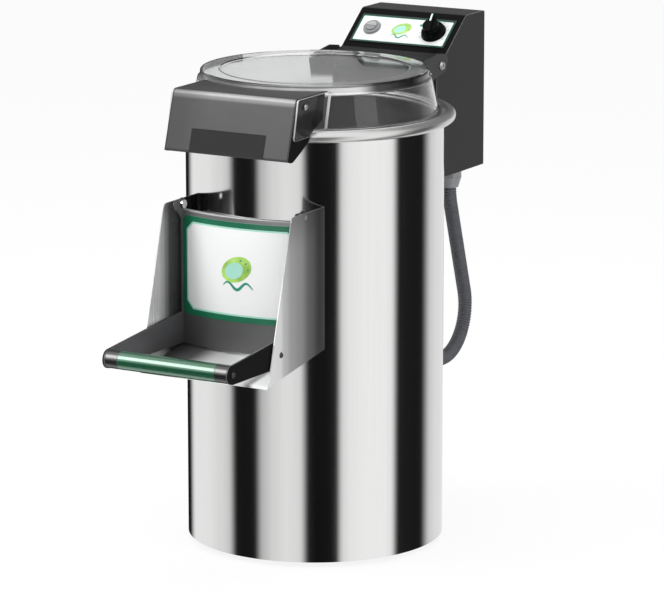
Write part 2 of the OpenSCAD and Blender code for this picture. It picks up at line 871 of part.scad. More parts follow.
// Rounded band of cable conduit that runs in the plane of its two bends.
module conduit() {
    a = conduit_lean;
    drop = (conduit_top - conduit_z - bend_r2 - (bend_r1 + bend_r2) * sin(a)) / cos(a);
    y1 = conduit_y + bend_r1 * (1 - cos(a));
    z1 = conduit_top - bend_r1 * sin(a);
    y2 = y1 + drop * sin(a) - bend_r2 * cos(a);
    lap = 1;
    slim = conduit_r - 0.2;
    color("dimgray") place() translate([conduit_x, 0, 0]) rotate([90, 0, 90]) {
        translate([conduit_y + bend_r1, conduit_top]) rotate([0, 0, 180])
            rotate_extrude(angle = a) translate([bend_r1, 0]) circle(r = conduit_r, $fn = 48);
        translate([y1, z1, 0]) rotate([0, 0, a]) rotate([90, 0, 0]) translate([0, 0, -lap])
            cylinder(r = slim, h = drop + 2 * lap, $fn = 48);
        translate([y2, conduit_z + bend_r2]) rotate([0, 0, -90])
            rotate_extrude(angle = 90 + a) translate([bend_r2, 0]) circle(r = conduit_r, $fn = 48);
        translate([wall_y + gland_l, conduit_z, 0]) rotate([0, 90, 0])
            cylinder(r = slim, h = y2 - wall_y - gland_l + lap, $fn = 48);
    }
}

// Gland along local Z: its seat is at 0 and it ends at l, with a ribbed nut and a threaded stem behind.
module gland(r, l, back) {
    cylinder(r = 1.75 * r, h = 0.35 * l, $fn = 8);
    translate([0, 0, 0.35 * l]) cylinder(r1 = 1.7 * r, r2 = 1.25 * r, h = 0.65 * l);
    translate([0, 0, -back]) cylinder(r = r + 0.6, h = back + 1);
    translate([0, 0, -back]) cylinder(r = 1.45 * r, h = 5 - run, $fn = 6);
}

module conduit_glands() {
    color("gray") place() {
        translate([conduit_x, conduit_y, box_z0]) rotate([180, 0, 0])
            difference() {
                gland(conduit_r, gland_l + 4, box_t + 5);
                translate([0, 0, -20]) cylinder(r = conduit_r - 3, h = 60);
            }
        translate([conduit_x, wall_y, conduit_z]) rotate([-90, 0, 0])
            difference() {
                translate([0, 0, -10]) cylinder(r = 1.5 * conduit_r, h = gland_l + 10);
                translate([-conduit_x, 0, -wall_y]) rotate([90, 0, 0]) translate([0, 0, -60])
                    cylinder(r = drum_r + seat, h = 120);
            }
        translate([conduit_x, wall_y, conduit_z]) rotate([-90, 0, 0]) {
            translate([0, 0, -26]) cylinder(r = conduit_r + 0.6, h = 30);
        }
    }
}

module mains_gland() {
    color("dimgray") place() translate([mains_x, conduit_y, box_z0]) rotate([180, 0, 0])
        difference() {
            gland(mains_r, gland_l, box_t + 5);
            translate([0, 0, -20]) cylinder(r = 4.6, h = 60);
        }
}

// ---------- chute ----------

function floor_z(y) = floor_back_z - floor_slope * (y - floor_back_y);

module cheek() {
    low = [-cheek_reach_low, floor_front_z - cheek_t];
    top = [-cheek_reach_top, cheek_top];
    back = -floor_back_y + 10;
    foot = [back, floor_z(-back) - cheek_t];
    difference() {
        slab(cheek_half, cheek_half + cheek_t) polygon(concat(
            [foot, [back, cheek_top]],
            soft([back, cheek_top], top, low, 8),
            soft(top, low, foot, 6)
        ));
        drum_room(seat);
        slab(cheek_half - 1, cheek_half + cheek_t + 1)
            translate([-axle_y, axle_z]) circle(r = axle_r + run);
        slab(cheek_half - 1, cheek_half + cheek_t + 1)
            translate([-catch_y, catch_z]) circle(r = catch_r + run);
    }
}

module left_cheek() {
    color("lightgray") place() mirror([1, 0, 0]) cheek();
}

module right_cheek() {
    color("lightgray") place() cheek();
}

module chute_floor() {
    hem = 4;
    line = [
        [-drum_r / 2, floor_z(drum_r / 2)], [-cheek_reach_low, floor_front_z],
        [-cheek_reach_low - 1, floor_front_z - hem]
    ];
    color("whitesmoke") place() difference() {
        slab(-cheek_half, cheek_half) polygon(sheet(line, cheek_t));
        drum_room(seat);
    }
}

// Two stub pins through the cheeks and the side frames, each with a head inside the door.
module door_pivots() {
    head_r = door_high - pass;
    head_in = frame_half - pass;
    color("gainsboro") place() both_sides() {
        slab(head_in - 1, pivot_end) translate([-axle_y, axle_z]) circle(r = axle_r);
        slab(head_in - 4, head_in) translate([-axle_y, axle_z]) circle(r = head_r);
    }
}

module cheek_screws() {
    color("silver") place() both_sides()
        translate([cheek_half + cheek_t, -catch_y, catch_z]) rotate([0, 90, 0]) screw(catch_r, cheek_t + 0.7);
}

// ---------- door with its handle ----------

module door_side() {
    arm_top = [-axle_y - 2, label_z0 + 3];
    difference() {
        union() {
            polygon([
                [-axle_y + 12, door_z0], [-axle_y + 12, door_z1 - 4], [-axle_y + 9, axle_z],
                [-axle_y - 16, axle_z], [-axle_y - 16, door_z1 + 2], [-axle_y - 2, door_z1 - 12],
                arm_top, [-bar_y, bar_z + arm_end_r], [-bar_y, bar_z - arm_end_r]
            ]);
            translate([-bar_y, bar_z]) circle(r = arm_end_r);
            translate([-axle_y, axle_z]) circle(r = 10);
            translate([-axle_y - 16, axle_z]) circle(r = 8.5);
        }
        translate([-axle_y, axle_z]) circle(r = axle_r + run);
        translate([-bar_y, bar_z]) circle(r = catch_r + run);
    }
}

module door_frame() {
    color("gray") place() both_sides() slab(frame_half, frame_out) door_side();
}

// Part of a cylinder concentric with the door panel, from radius r0 to r1, |x| < half.
module door_shell(r0, r1, half, z0, z1) {
    intersection() {
        translate([0, door_center_y, 0]) ring(r1, r0, z0, z1);
        translate([-half, -door_front - 20, z0 - 1]) cube([2 * half, 80, z1 - z0 + 2]);
    }
}

module door_panel() {
    half = frame_half - seat / 2;
    color("silver") place() {
        door_shell(door_curve - door_t, door_curve, half, door_z0, door_z1);
        intersection() {
            translate([0, door_center_y, door_z1]) rotate_extrude() translate([door_curve - door_roll, 0])
                circle(r = door_roll, $fn = 32);
            translate([-half, -door_front - 20, door_z1 - 10]) cube([2 * half, 80, 20]);
        }
    }
}

module door_label() {
    color("seagreen") place()
        door_shell(door_curve + 0.05, door_curve + label_t, frame_half - label_side, label_z0, label_z1);
}

// Curved plate that closes the outlet, with the two webs that carry it on the door panel.
module door_pad() {
    web_x = 58;
    web_t = 2;
    color("silver") place() {
        intersection() {
            ring(pad_r + 2, pad_r, outlet_z0 - seal_lap, outlet_z1 + seal_lap);
            outlet_block(seal_lap);
        }
        difference() {
            both_sides() translate([web_x, -door_front, outlet_z0 + 20])
                cube([web_t, 60, outlet_z1 - outlet_z0 - 30]);
            translate([0, 0, outlet_z0]) cylinder(r = pad_r + 1, h = outlet_z1 - outlet_z0);
            translate([0, door_center_y, outlet_z0]) difference() {
                cylinder(r = 2 * door_curve, h = outlet_z1 - outlet_z0);
                translate([0, 0, -1]) cylinder(r = door_curve - door_t, h = outlet_z1 - outlet_z0 + 2);
            }
        }
    }
}

module door_seal() {
    color("black") place() difference() {
        intersection() {
            ring(pad_r, pad_r - seal_t, outlet_z0 - seal_lap, outlet_z1 + seal_lap);
            outlet_block(seal_lap);
        }
        outlet_block(-4);
    }
}

module handle_tube() {
    color("forestgreen") place() slab(-tube_half, tube_half) translate([-bar_y, bar_z]) difference() {
        circle(r = bar_r);
        circle(r = bar_r - tube_wall);
    }
}

module handle_sleeves() {
    spigot = 10;
    color("silver") place() both_sides() difference() {
        translate([0, -bar_y, bar_z]) rotate([0, 90, 0]) {
            translate([0, 0, tube_half]) cylinder(r = bar_r, h = frame_half - tube_half);
            translate([0, 0, tube_half - spigot]) cylinder(r = bar_r - tube_wall - run, h = spigot + 1);
        }
        translate([frame_half - 14, -bar_y, bar_z]) rotate([0, 90, 0]) cylinder(r = catch_r + run, h = 20);
    }
}

// The covers follow the arms' outline and end in front of the cheeks' upper part.
module arm_covers() {
    color("black") place() both_sides() slab(frame_out, frame_out + cover_t) difference() {
        door_side();
        translate([-cover_y, 0]) square([cover_y, 2 * axle_z]);
    }
}

module handle_screws() {
    color("silver") place() both_sides()
        translate([frame_out + cover_t, -bar_y, bar_z]) rotate([0, 90, 0]) screw(catch_r, 14);
}

// ---------- lid ----------

// Outer surface of the dome from its foot to its middle, as radius and height.
lid_line = concat(
    [[lid_base_r + lid_flange, lid_z0 + lid_t], [lid_base_r + 1, lid_z0 + lid_t]],
    soft([lid_base_r, lid_z0 + lid_t + 1], [skirt_top_r, shoulder_z - 1], [lid_top_r + 1, shoulder_z], 2, 2),
    [[lid_top_r + 0.5, shoulder_z]],
    soft([lid_top_r, shoulder_z], [lid_top_r, lid_top_z], [0, lid_top_z], 4),
    [[lid_ring_r + lid_sink, lid_top_z], [lid_ring_r, lid_top_z - lid_sink], [0, lid_top_z - lid_sink]]
);

function skirt_r(z) =
    lid_base_r + 1 + (skirt_top_r - lid_base_r - 1) * (z - lid_z0 - lid_t) / (shoulder_z - lid_z0 - lid_t);

// Everything inside the dome's outer surface, moved inwards by o.
module dome_room(o) {
    rotate_extrude() polygon(concat(shifted(lid_line, o), [[0, 0], [lid_base_r + lid_flange, 0]]));
}

module wing_outline() {
    top = hood_z1 - hood_t / 2;
    front_top = [-hood_crease - 0.5, top];
    front_low = [-hood_crease - 14, wing_z0 - 6];
    step = [-drum_r - 5, wing_z0 - 5];
    polygon(concat(
        [[0, wing_z0], [0, top]],
        soft([0, top], front_top, front_low, 3),
        soft(front_top, front_low, step, 3),
        [step, step + [7, 5]]
    ));
}

module lid_dome() {
    color("white", 0.4) place() {
        rotate_extrude() polygon(sheet(lid_line, lid_t));
        difference() {
            both_sides() slab(wing_in, wing_half) wing_outline();
            dome_room(lid_t / 2);
            both_sides() slab(wing_in - 1, wing_half + 1)
                translate([-hood_screw_y, hood_screw_z]) circle(r = catch_r + run);
        }
    }
}

module lid_seal() {
    color("dimgray") place() ring(lid_base_r + lid_flange - 0.5, lid_base_r - 5, lid_z0 - lid_seal_t, lid_z0);
}

module hood() {
    top_back = [-lid_top_r + 35, hood_z1];
    crease = [-hood_crease, hood_z1];
    low = [-hood_low, hood_z0];
    lip = [-hood_low + 9, hood_z0 - 1];
    side_top = [-lid_top_r + 19, hood_z1 - 0.5];
    side_back = [-lid_top_r + 11, hood_z1 - 41];
    foot = [-lid_base_r - 3.4, lid_z0 + 7.5];
    notch = [-lid_base_r - 14.8, hood_z0 + 22];
    waist = [-hood_low + 36, hood_z0 + 7.5];
    chin = [-hood_low + 13, hood_z0 - 3.5];
    tilt = atan2(hood_z1 - hood_z0, hood_low - hood_crease);
    color("dimgray") place() difference() {
        union() {
            slab(-hood_half, hood_half)
                polygon(sheet(concat([top_back], soft(top_back, crease, low, 6), [low, lip]), hood_t));
            both_sides() slab(hood_half - hood_t, hood_half) polygon(concat(
                [side_top, crease + [2, -0.5], low + [0.5, 0.5]],
                soft(low, chin, waist, 6),
                [waist, notch, foot, side_back]
            ));
        }
        translate([0, 0, lid_z0]) cylinder(r = skirt_top_r + 2, h = 100);
        rotate_extrude()
            polygon([[0, lid_z0], [lid_base_r + 2, lid_z0], [skirt_top_r + 2, hood_z1], [0, hood_z1]]);
        both_sides() slab(hood_half - hood_t - 1, hood_half + 1)
            translate([-hood_screw_y, hood_screw_z]) circle(r = catch_r + run);
        translate([0, low[0], low[1]]) rotate([tilt - 90, 0, 0])
            translate([-recess_half, -1, -1]) cube([2 * recess_half, 1 + recess_d, recess_h + 1]);
    }
}

// Half angle that the strap spans round the lid's back, a little beyond the arms' outer faces.
strap_half = asin((hinge_in + hinge_t + 3) / skirt_r(strap_z1));

module hinge_arm_outline() {
    strap_y = skirt_r(strap_z0) * cos(strap_half) + 3;
    pivot = [pivot_y, pivot_z];
    difference() {
        union() {
            polygon([
                [strap_y - 8, strap_z0], [strap_y - 2, strap_z1], pivot + hinge_h * [-1.35, 0.42],
                pivot + hinge_h * [-0.325, 0.555], pivot + hinge_h * [0.42, 0.445],
                pivot + hinge_h * [0.58, 0.2], pivot + hinge_h * [0.365, -0.285],
                pivot + hinge_h * [-0.12, -0.39], pivot + hinge_h * [-1.08, -0.61]
            ]);
            translate(pivot) circle(r = 2.2 * pivot_r);
        }
        translate(pivot) circle(r = pivot_r + run);
    }
}

module lid_hinge() {
    r0 = skirt_r(strap_z0) + seat;
    r1 = skirt_r(strap_z1) + seat;
    color("black") place() difference() {
        union() {
            rotate([0, 0, 90 - strap_half]) rotate_extrude(angle = 2 * strap_half) polygon([
                [r0, strap_z0], [r0 + hinge_t, strap_z0], [r1 + hinge_t, strap_z1], [r1, strap_z1]
            ]);
            difference() {
                both_sides() slab(hinge_in, hinge_in + hinge_t) hinge_arm_outline();
                dome_room(-seat);
            }
        }
        for (a = [-strap_screw_a, strap_screw_a])
            radial(a, strap_screw_z) cylinder(r = catch_r + run, h = drum_r);
        both_sides() translate([hinge_in + hinge_t, 0, 0]) cube([drum_r, 2 * drum_r, 2 * drum_h]);
    }
}

module lid_screws() {
    color("silver") place() {
        both_sides() translate([wing_half, -hood_screw_y, hood_screw_z]) rotate([0, 90, 0])
            screw(catch_r, wing_t + hood_gap + hood_t + 3);
        for (a = [-strap_screw_a, strap_screw_a])
            radial(a, strap_screw_z) translate([0, 0, skirt_r(strap_screw_z) + hinge_t + seat + 1.1])
                screw(catch_r, 3.2);
    }
}

module lid_pivots() {
    nut_r = pivot_r + 1.8;
    nut_z = box_half - box_t - 6;
    head_z = hinge_in + hinge_t + pass;
    color("silver") place() both_sides() translate([0, pivot_y, pivot_z]) rotate([0, 90, 0]) {
        translate([0, 0, nut_z]) cylinder(r = nut_r, h = 6, $fn = 6);
        translate([0, 0, nut_z]) cylinder(r = pivot_r, h = head_z - nut_z + 0.5);
        translate([0, 0, head_z]) difference() {
            cylinder(r1 = pivot_r + 3, r2 = pivot_r + 1.5, h = 3);
            translate([0, 0, 1.5]) cylinder(r = 3, h = 3, $fn = 6);
        }
    }
}

// ---------- control box ----------

box_outline = concat(
    [[box_front, box_z0], [box_back, box_z0]],
    soft([box_back, box_z0], [box_back, box_z1], [slope_y1, box_z1], 4),
    soft([box_back, box_z1], [slope_y1, box_z1], [slope_y0, slope_z0], 5),
    [[slope_y0, slope_z0]],
    soft([slope_y0, slope_z0], [box_front, nose_z], [box_front, box_z0], 3)
);

module control_box() {
    lip = 16;
    color("dimgray") place() difference() {
        slab(-box_half, box_half) polygon(box_outline);
        slab(-box_half + box_t, box_half - box_t) polygon(inset(box_outline, box_t));
        translate([-box_half + lip, box_back - box_t - 1, box_z0 + lip])
            cube([2 * (box_half - lip), box_t + 2, box_z1 - box_z0 - 2 * lip]);
        both_sides() slab(box_half - box_t - 1, box_half + 1)
            translate([pivot_y, pivot_z]) circle(r = pivot_r + run);
        on_slope(-button_x, control_s) translate([0, 0, -box_t - 1])
            cylinder(r = bezel_r - 3.8, h = box_t + 2);
        on_slope(knob_x, control_s) translate([0, 0, -box_t - 1])
            cylinder(r = timer_shaft_r + 1, h = box_t + 2);
        translate([conduit_x, conduit_y, box_z0 - 1]) cylinder(r = conduit_r + 0.6 + run, h = box_t + 2);
        translate([mains_x, conduit_y, box_z0 - 1]) cylinder(r = mains_r + 0.6 + run, h = box_t + 2);
    }
}

module rear_cover() {
    color("dimgray") place() difference() {
        translate([-rear_half, box_back, box_z0 + 8]) cube([2 * rear_half, rear_t, box_z1 - box_z0 - 16]);
        rear_screw_spots() cylinder(r = catch_r + run, h = 20, center = true);
    }
}

// The four screws of the rear cover.
module rear_screw_spots() {
    for (x = [-rear_half + 5, rear_half - 5], z = [box_z0 + 13, box_z1 - 13])
        translate([x, box_back + rear_t, z]) rotate([-90, 0, 0]) children();
}

module box_screws() {
    color("silver") place() rear_screw_spots() screw(catch_r, rear_t - 0.1);
}

module box_bracket() {
    half = 60;
    wall = 4;
    z0 = box_z0 + 20;
    z1 = rim_bottom - 12;
    color("dimgray") place() difference() {
        translate([-half, drum_r - 40, z0]) cube([2 * half, box_front - drum_r + 40, z1 - z0]);
        translate([-half + wall, drum_r - 50, z0 - 1])
            cube([2 * (half - wall), box_front - drum_r + 50 - wall, z1 - z0 + 2]);
        drum_room(0);
    }
}

module panel_plate() {
    color("white") place() difference() {
        on_slope(0, panel_s0) translate([-panel_half, 0, run])
            cube([2 * panel_half, panel_s1 - panel_s0, panel_t]);
        on_slope(-button_x, control_s) translate([0, 0, -1]) cylinder(r = bezel_r - 3.8, h = panel_t + 2);
        on_slope(knob_x, control_s) translate([0, 0, -1]) cylinder(r = timer_shaft_r + 1, h = panel_t + 2);
    }
}

module button_bezel() {
    color("gray") place() on_slope(-button_x, control_s) difference() {
        union() {
            translate([0, 0, panel_t + 2 * run]) cylinder(r1 = bezel_r, r2 = bezel_r - 1.5, h = bezel_h);
            translate([0, 0, -barrel_l]) cylinder(r = bezel_r - 4, h = barrel_l + panel_t + 1);
        }
        translate([0, 0, -barrel_l - 1]) cylinder(r = button_r + 0.15, h = barrel_l + 10);
    }
}

module switch_block() {
    color("black") place() on_slope(-button_x, control_s) translate([-18, -18, -barrel_l - 32])
        cube([36, 36, 32]);
}

// One half of the round pair of push buttons.
module half_button() {
    split = 0.4;
    foot = button_travel + 0.5 - barrel_l;
    intersection() {
        translate([0, 0, foot]) cylinder(r = button_r, h = panel_t + bezel_h + 2 - foot);
        translate([-button_r, split, -20]) cube([2 * button_r, button_r, 60]);
    }
}

module start_button() {
    color("darkgray") place() on_slope(-button_x, control_s) half_button();
}

module stop_button() {
    color("gray") place() on_slope(-button_x, control_s) mirror([0, 1, 0]) half_button();
}

module timer_body() {
    color("black") place() on_slope(knob_x, control_s) difference() {
        union() {
            translate([-20, -20, -box_t - 14]) cube([40, 40, 14 - run]);
            translate([0, 0, -box_t - 34]) cylinder(r = 19, h = 21);
        }
        translate([0, 0, -box_t - 16]) cylinder(r = timer_shaft_r + run, h = 20);
    }
}

module timer_knob() {
    tip = [0, knob_r + 1.5];
    color("black") place() on_slope(knob_x, control_s) {
        translate([0, 0, -box_t - 12]) cylinder(r = timer_shaft_r, h = box_t + 12 + panel_t + 2);
        translate([0, 0, panel_t + pass]) cylinder(r1 = knob_r, r2 = knob_r - 2, h = 6);
        translate([0, 0, panel_t + pass]) cylinder(r = 0.62 * knob_r, h = knob_h - 4);
        rotate([0, 0, 8]) translate([0, 0, panel_t + pass]) linear_extrude(knob_h)
            polygon([[-4.5, -knob_r + 3], [4.5, -knob_r + 3], [3.5, knob_r - 2], tip, [-3.5, knob_r - 2]]);
    }
}

module contactor() {
    rail = 8;
    color("black") place() translate([-box_half + 24.5, box_front + box_t, box_z0 + 30]) {
        cube([contactor_w, rail, contactor_h]);
        translate([0, rail, 10]) cube([contactor_w, contactor_d, contactor_h - 20]);
        translate([8, rail + contactor_d, 20]) cube([contactor_w - 16, 10, contactor_h - 40]);
    }
}

module lid_switch() {
    color("black") place() translate([box_half - box_t - 14, pivot_y + 14, pivot_z - 34]) {
        cube([14, 28, 20]);
        translate([4, 6, 20]) cube([6, 16, 4]);
    }
}

// ---------- assembly ----------

base_plate();
feet();
outer_casing();
rim_ring();
peeling_chamber();
abrasive_lining();
outlet_throat();
bearing_housing();
shaft_bearings();
shaft_seal();
motor();
motor_cradle();
drive_belt();
drain_outlet();
water_inlet();
spray_nozzle();
left_cheek();
right_cheek();
chute_floor();
door_pivots();
cheek_screws();
control_box();
rear_cover();
box_screws();
box_bracket();
panel_plate();
button_bezel();
switch_block();
timer_body();
contactor();
lid_switch();
lid_pivots();
conduit();
conduit_glands();
mains_gland();
lid_dome();
lid_seal();
hood();
lid_hinge();
lid_screws();
door_frame();
door_panel();
door_label();
door_pad();
door_seal();
handle_tube();
handle_sleeves();
arm_covers();
handle_screws();
abrasive_plate();
plate_hub();
plate_nut();
drive_shaft();
driven_pulley();
motor_shaft();
motor_pulley();
timer_knob();
start_button();
stop_button();
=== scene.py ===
"""Electric potato peeler: materials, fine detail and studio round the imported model."""
import json
import math

import bmesh
import bpy
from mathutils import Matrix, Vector

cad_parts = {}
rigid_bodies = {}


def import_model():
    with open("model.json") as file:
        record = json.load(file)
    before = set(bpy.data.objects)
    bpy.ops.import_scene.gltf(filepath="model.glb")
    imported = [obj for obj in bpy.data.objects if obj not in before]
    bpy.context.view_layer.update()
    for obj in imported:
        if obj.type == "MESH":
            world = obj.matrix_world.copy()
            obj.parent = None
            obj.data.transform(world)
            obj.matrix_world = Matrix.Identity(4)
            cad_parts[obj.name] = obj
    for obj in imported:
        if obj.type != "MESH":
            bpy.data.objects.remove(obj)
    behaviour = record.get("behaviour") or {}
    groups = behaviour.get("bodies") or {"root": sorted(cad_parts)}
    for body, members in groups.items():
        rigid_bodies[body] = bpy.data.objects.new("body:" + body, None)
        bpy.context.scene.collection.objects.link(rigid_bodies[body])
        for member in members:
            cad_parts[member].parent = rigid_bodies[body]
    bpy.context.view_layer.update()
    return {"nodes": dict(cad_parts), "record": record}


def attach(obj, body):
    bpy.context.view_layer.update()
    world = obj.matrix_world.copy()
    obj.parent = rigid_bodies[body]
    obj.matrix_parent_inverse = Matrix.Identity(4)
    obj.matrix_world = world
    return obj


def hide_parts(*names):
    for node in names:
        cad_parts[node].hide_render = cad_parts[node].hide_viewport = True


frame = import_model()
NODES = frame["nodes"]

# The source's own frame: millimetres, drum axis at x = y = 0, casing's bottom edge at z = 0.
Y_SHIFT, FOOT_H = 28.0, 8.0
DRUM_R, DRUM_T, DRUM_H = 200.0, 2.0, 662.5
SLOPE_Y0, SLOPE_Z0 = 252.0, 727.0
SLOPE = math.atan2(781.0 - 727.0, 320.0 - 252.0)
PANEL_T = 1.25
DOOR_CY, DOOR_R, LABEL_T = 82.0, 320.0, 0.8
OUTLET_HALF, OUTLET_Z0, OUTLET_Z1, OUTLET_GAP = 81.0, 348.0, 521.0, 2.2
DOME_R, SKIRT_TOP_R, SKIRT_LOW_R, SKIRT_TOP_Z, SKIRT_LOW_Z = 177.0, 181.0, 191.2, 722.6, 671.0
WING_IN, WING_OUT, WING_TOP, WING_DROP, WING_SEAM = 107.5, 110.0, 727.0, 50.0, 4.0
HOOD_Y, HOOD_Z, HOOD_LEAN, RECESS_DEPTH = -268.0, 638.0, math.atan2(90, 28), 0.72
BAR_Y, BAR_Z, BAR_HALF, TUBE_HALF = 429.5, 350.0, 104.4, 83.5
KNOB_X, BUTTON_X, CONTROL_S = 55.0, -57.0, 43.0
BUTTON_TOP, KNOB_TILT = 4.75, math.radians(8)
DIAL_MARKS, DIAL_R0, DIAL_R1 = 11, 22.8, 25.2


def at(x, y, z):
    """A point of the source's frame, in metres in the row frame."""
    return Vector((x, y + Y_SHIFT, z + FOOT_H)) * 0.001


def on_slope(x, s, h):
    """A point of the panel slope: s up the slope, h out of it."""
    return at(
        x,
        SLOPE_Y0 + s * math.cos(SLOPE) - h * math.sin(SLOPE),
        SLOPE_Z0 + s * math.sin(SLOPE) + h * math.cos(SLOPE),
    )


def on_label(x, z, h):
    """A point h in front of the curved door label."""
    return at(x, DOOR_CY - math.sqrt((DOOR_R + LABEL_T + h) ** 2 - x * x), z)


# ---------- materials ----------


def link(tree, a, b):
    """Joins one socket to another."""
    tree.links.new(a, b)


def graded(tree, place, tone, axis, stops):
    """Multiplies a colour by values set at places along an axis of the object (metres)."""
    n = tree.nodes
    sep = n.new("ShaderNodeSeparateXYZ")
    link(tree, place, sep.inputs[0])
    span = n.new("ShaderNodeMapRange")
    low, high = stops[0][0], stops[-1][0]
    span.inputs["From Min"].default_value = low
    span.inputs["From Max"].default_value = high
    link(tree, sep.outputs[axis], span.inputs["Value"])
    ramp = n.new("ShaderNodeValToRGB")
    set_stops(ramp.color_ramp, [((x - low) / (high - low), v) for x, v in stops])
    link(tree, span.outputs["Result"], ramp.inputs["Fac"])
    mix = n.new("ShaderNodeMix")
    mix.data_type = "RGBA"
    mix.blend_type = "MULTIPLY"
    mix.inputs["Factor"].default_value = 1.0
    link(tree, tone, mix.inputs["A"])
    link(tree, ramp.outputs["Color"], mix.inputs["B"])
    return mix.outputs["Result"]


def set_stops(ramp, stops):
    """Gives a ramp its grey stops, as (position, value), with soft steps between them."""
    ramp.interpolation = "EASE"
    for i, (where, value) in enumerate(stops):
        if i == 0:
            e = ramp.elements[0]
        elif i == len(stops) - 1:
            e = ramp.elements[-1]
        else:
            e = ramp.elements.new(where)
        e.position, e.color = where, (value, value, value, 1)


def material(
    name,
    color,
    rough,
    metal=0.0,
    spread=0.12,
    rough_spread=0.06,
    scale=14.0,
    stretch=(1, 1, 1),
    bump=0.0,
    bump_scale=400.0,
    bump_depth=0.0001,
    tint=None,
    along=(),
    **fixed,
):
    """A principled surface whose colour, roughness and relief vary over the object."""
    m = bpy.data.materials.new(name)
    m.use_nodes = True
    tree = m.node_tree
    n = tree.nodes
    bsdf = n["Principled BSDF"]
    bsdf.inputs["Metallic"].default_value = metal
    for key, value in fixed.items():
        bsdf.inputs[key.replace("_", " ")].default_value = value
    coord = n.new("ShaderNodeTexCoord")
    mapping = n.new("ShaderNodeMapping")
    mapping.inputs["Scale"].default_value = stretch
    link(tree, coord.outputs["Object"], mapping.inputs["Vector"])
    noise = n.new("ShaderNodeTexNoise")
    noise.inputs["Scale"].default_value = scale
    noise.inputs["Detail"].default_value = 6.0
    noise.inputs["Roughness"].default_value = 0.6
    link(tree, mapping.outputs["Vector"], noise.inputs["Vector"])
    ramp = n.new("ShaderNodeValToRGB")
    low = [c * (1 - spread) for c in color]
    high = [min(1.0, c * (1 + spread)) for c in (tint or color)]
    ramp.color_ramp.elements[0].position = 0.3
    ramp.color_ramp.elements[1].position = 0.7
    ramp.color_ramp.elements[0].color = (*low, 1)
    ramp.color_ramp.elements[1].color = (*high, 1)
    link(tree, noise.outputs["Fac"], ramp.inputs["Fac"])
    tone = ramp.outputs["Color"]
    for axis, stops in along:
        tone = graded(tree, coord.outputs["Object"], tone, axis, stops)
    link(tree, tone, bsdf.inputs["Base Color"])
    span = n.new("ShaderNodeMapRange")
    span.inputs["From Min"].default_value = 0.3
    span.inputs["From Max"].default_value = 0.7
    span.inputs["To Min"].default_value = max(0.0, rough - rough_spread)
    span.inputs["To Max"].default_value = rough + rough_spread
    link(tree, noise.outputs["Fac"], span.inputs["Value"])
    link(tree, span.outputs["Result"], bsdf.inputs["Roughness"])
    if bump:
        grain = n.new("ShaderNodeTexNoise")
        grain.inputs["Scale"].default_value = bump_scale
        grain.inputs["Detail"].default_value = 3.0
        link(tree, mapping.outputs["Vector"], grain.inputs["Vector"])
        relief = n.new("ShaderNodeBump")
        relief.inputs["Strength"].default_value = bump
        relief.inputs["Distance"].default_value = bump_depth
        link(tree, grain.outputs["Fac"], relief.inputs["Height"])
        link(tree, relief.outputs["Normal"], bsdf.inputs["Normal"])
    return m


BRUSH_ROUND = (0.6, 0.6, 60)
BRUSH_UP = (50, 50, 0.8)
BRUSH_X = (0.8, 50, 50)

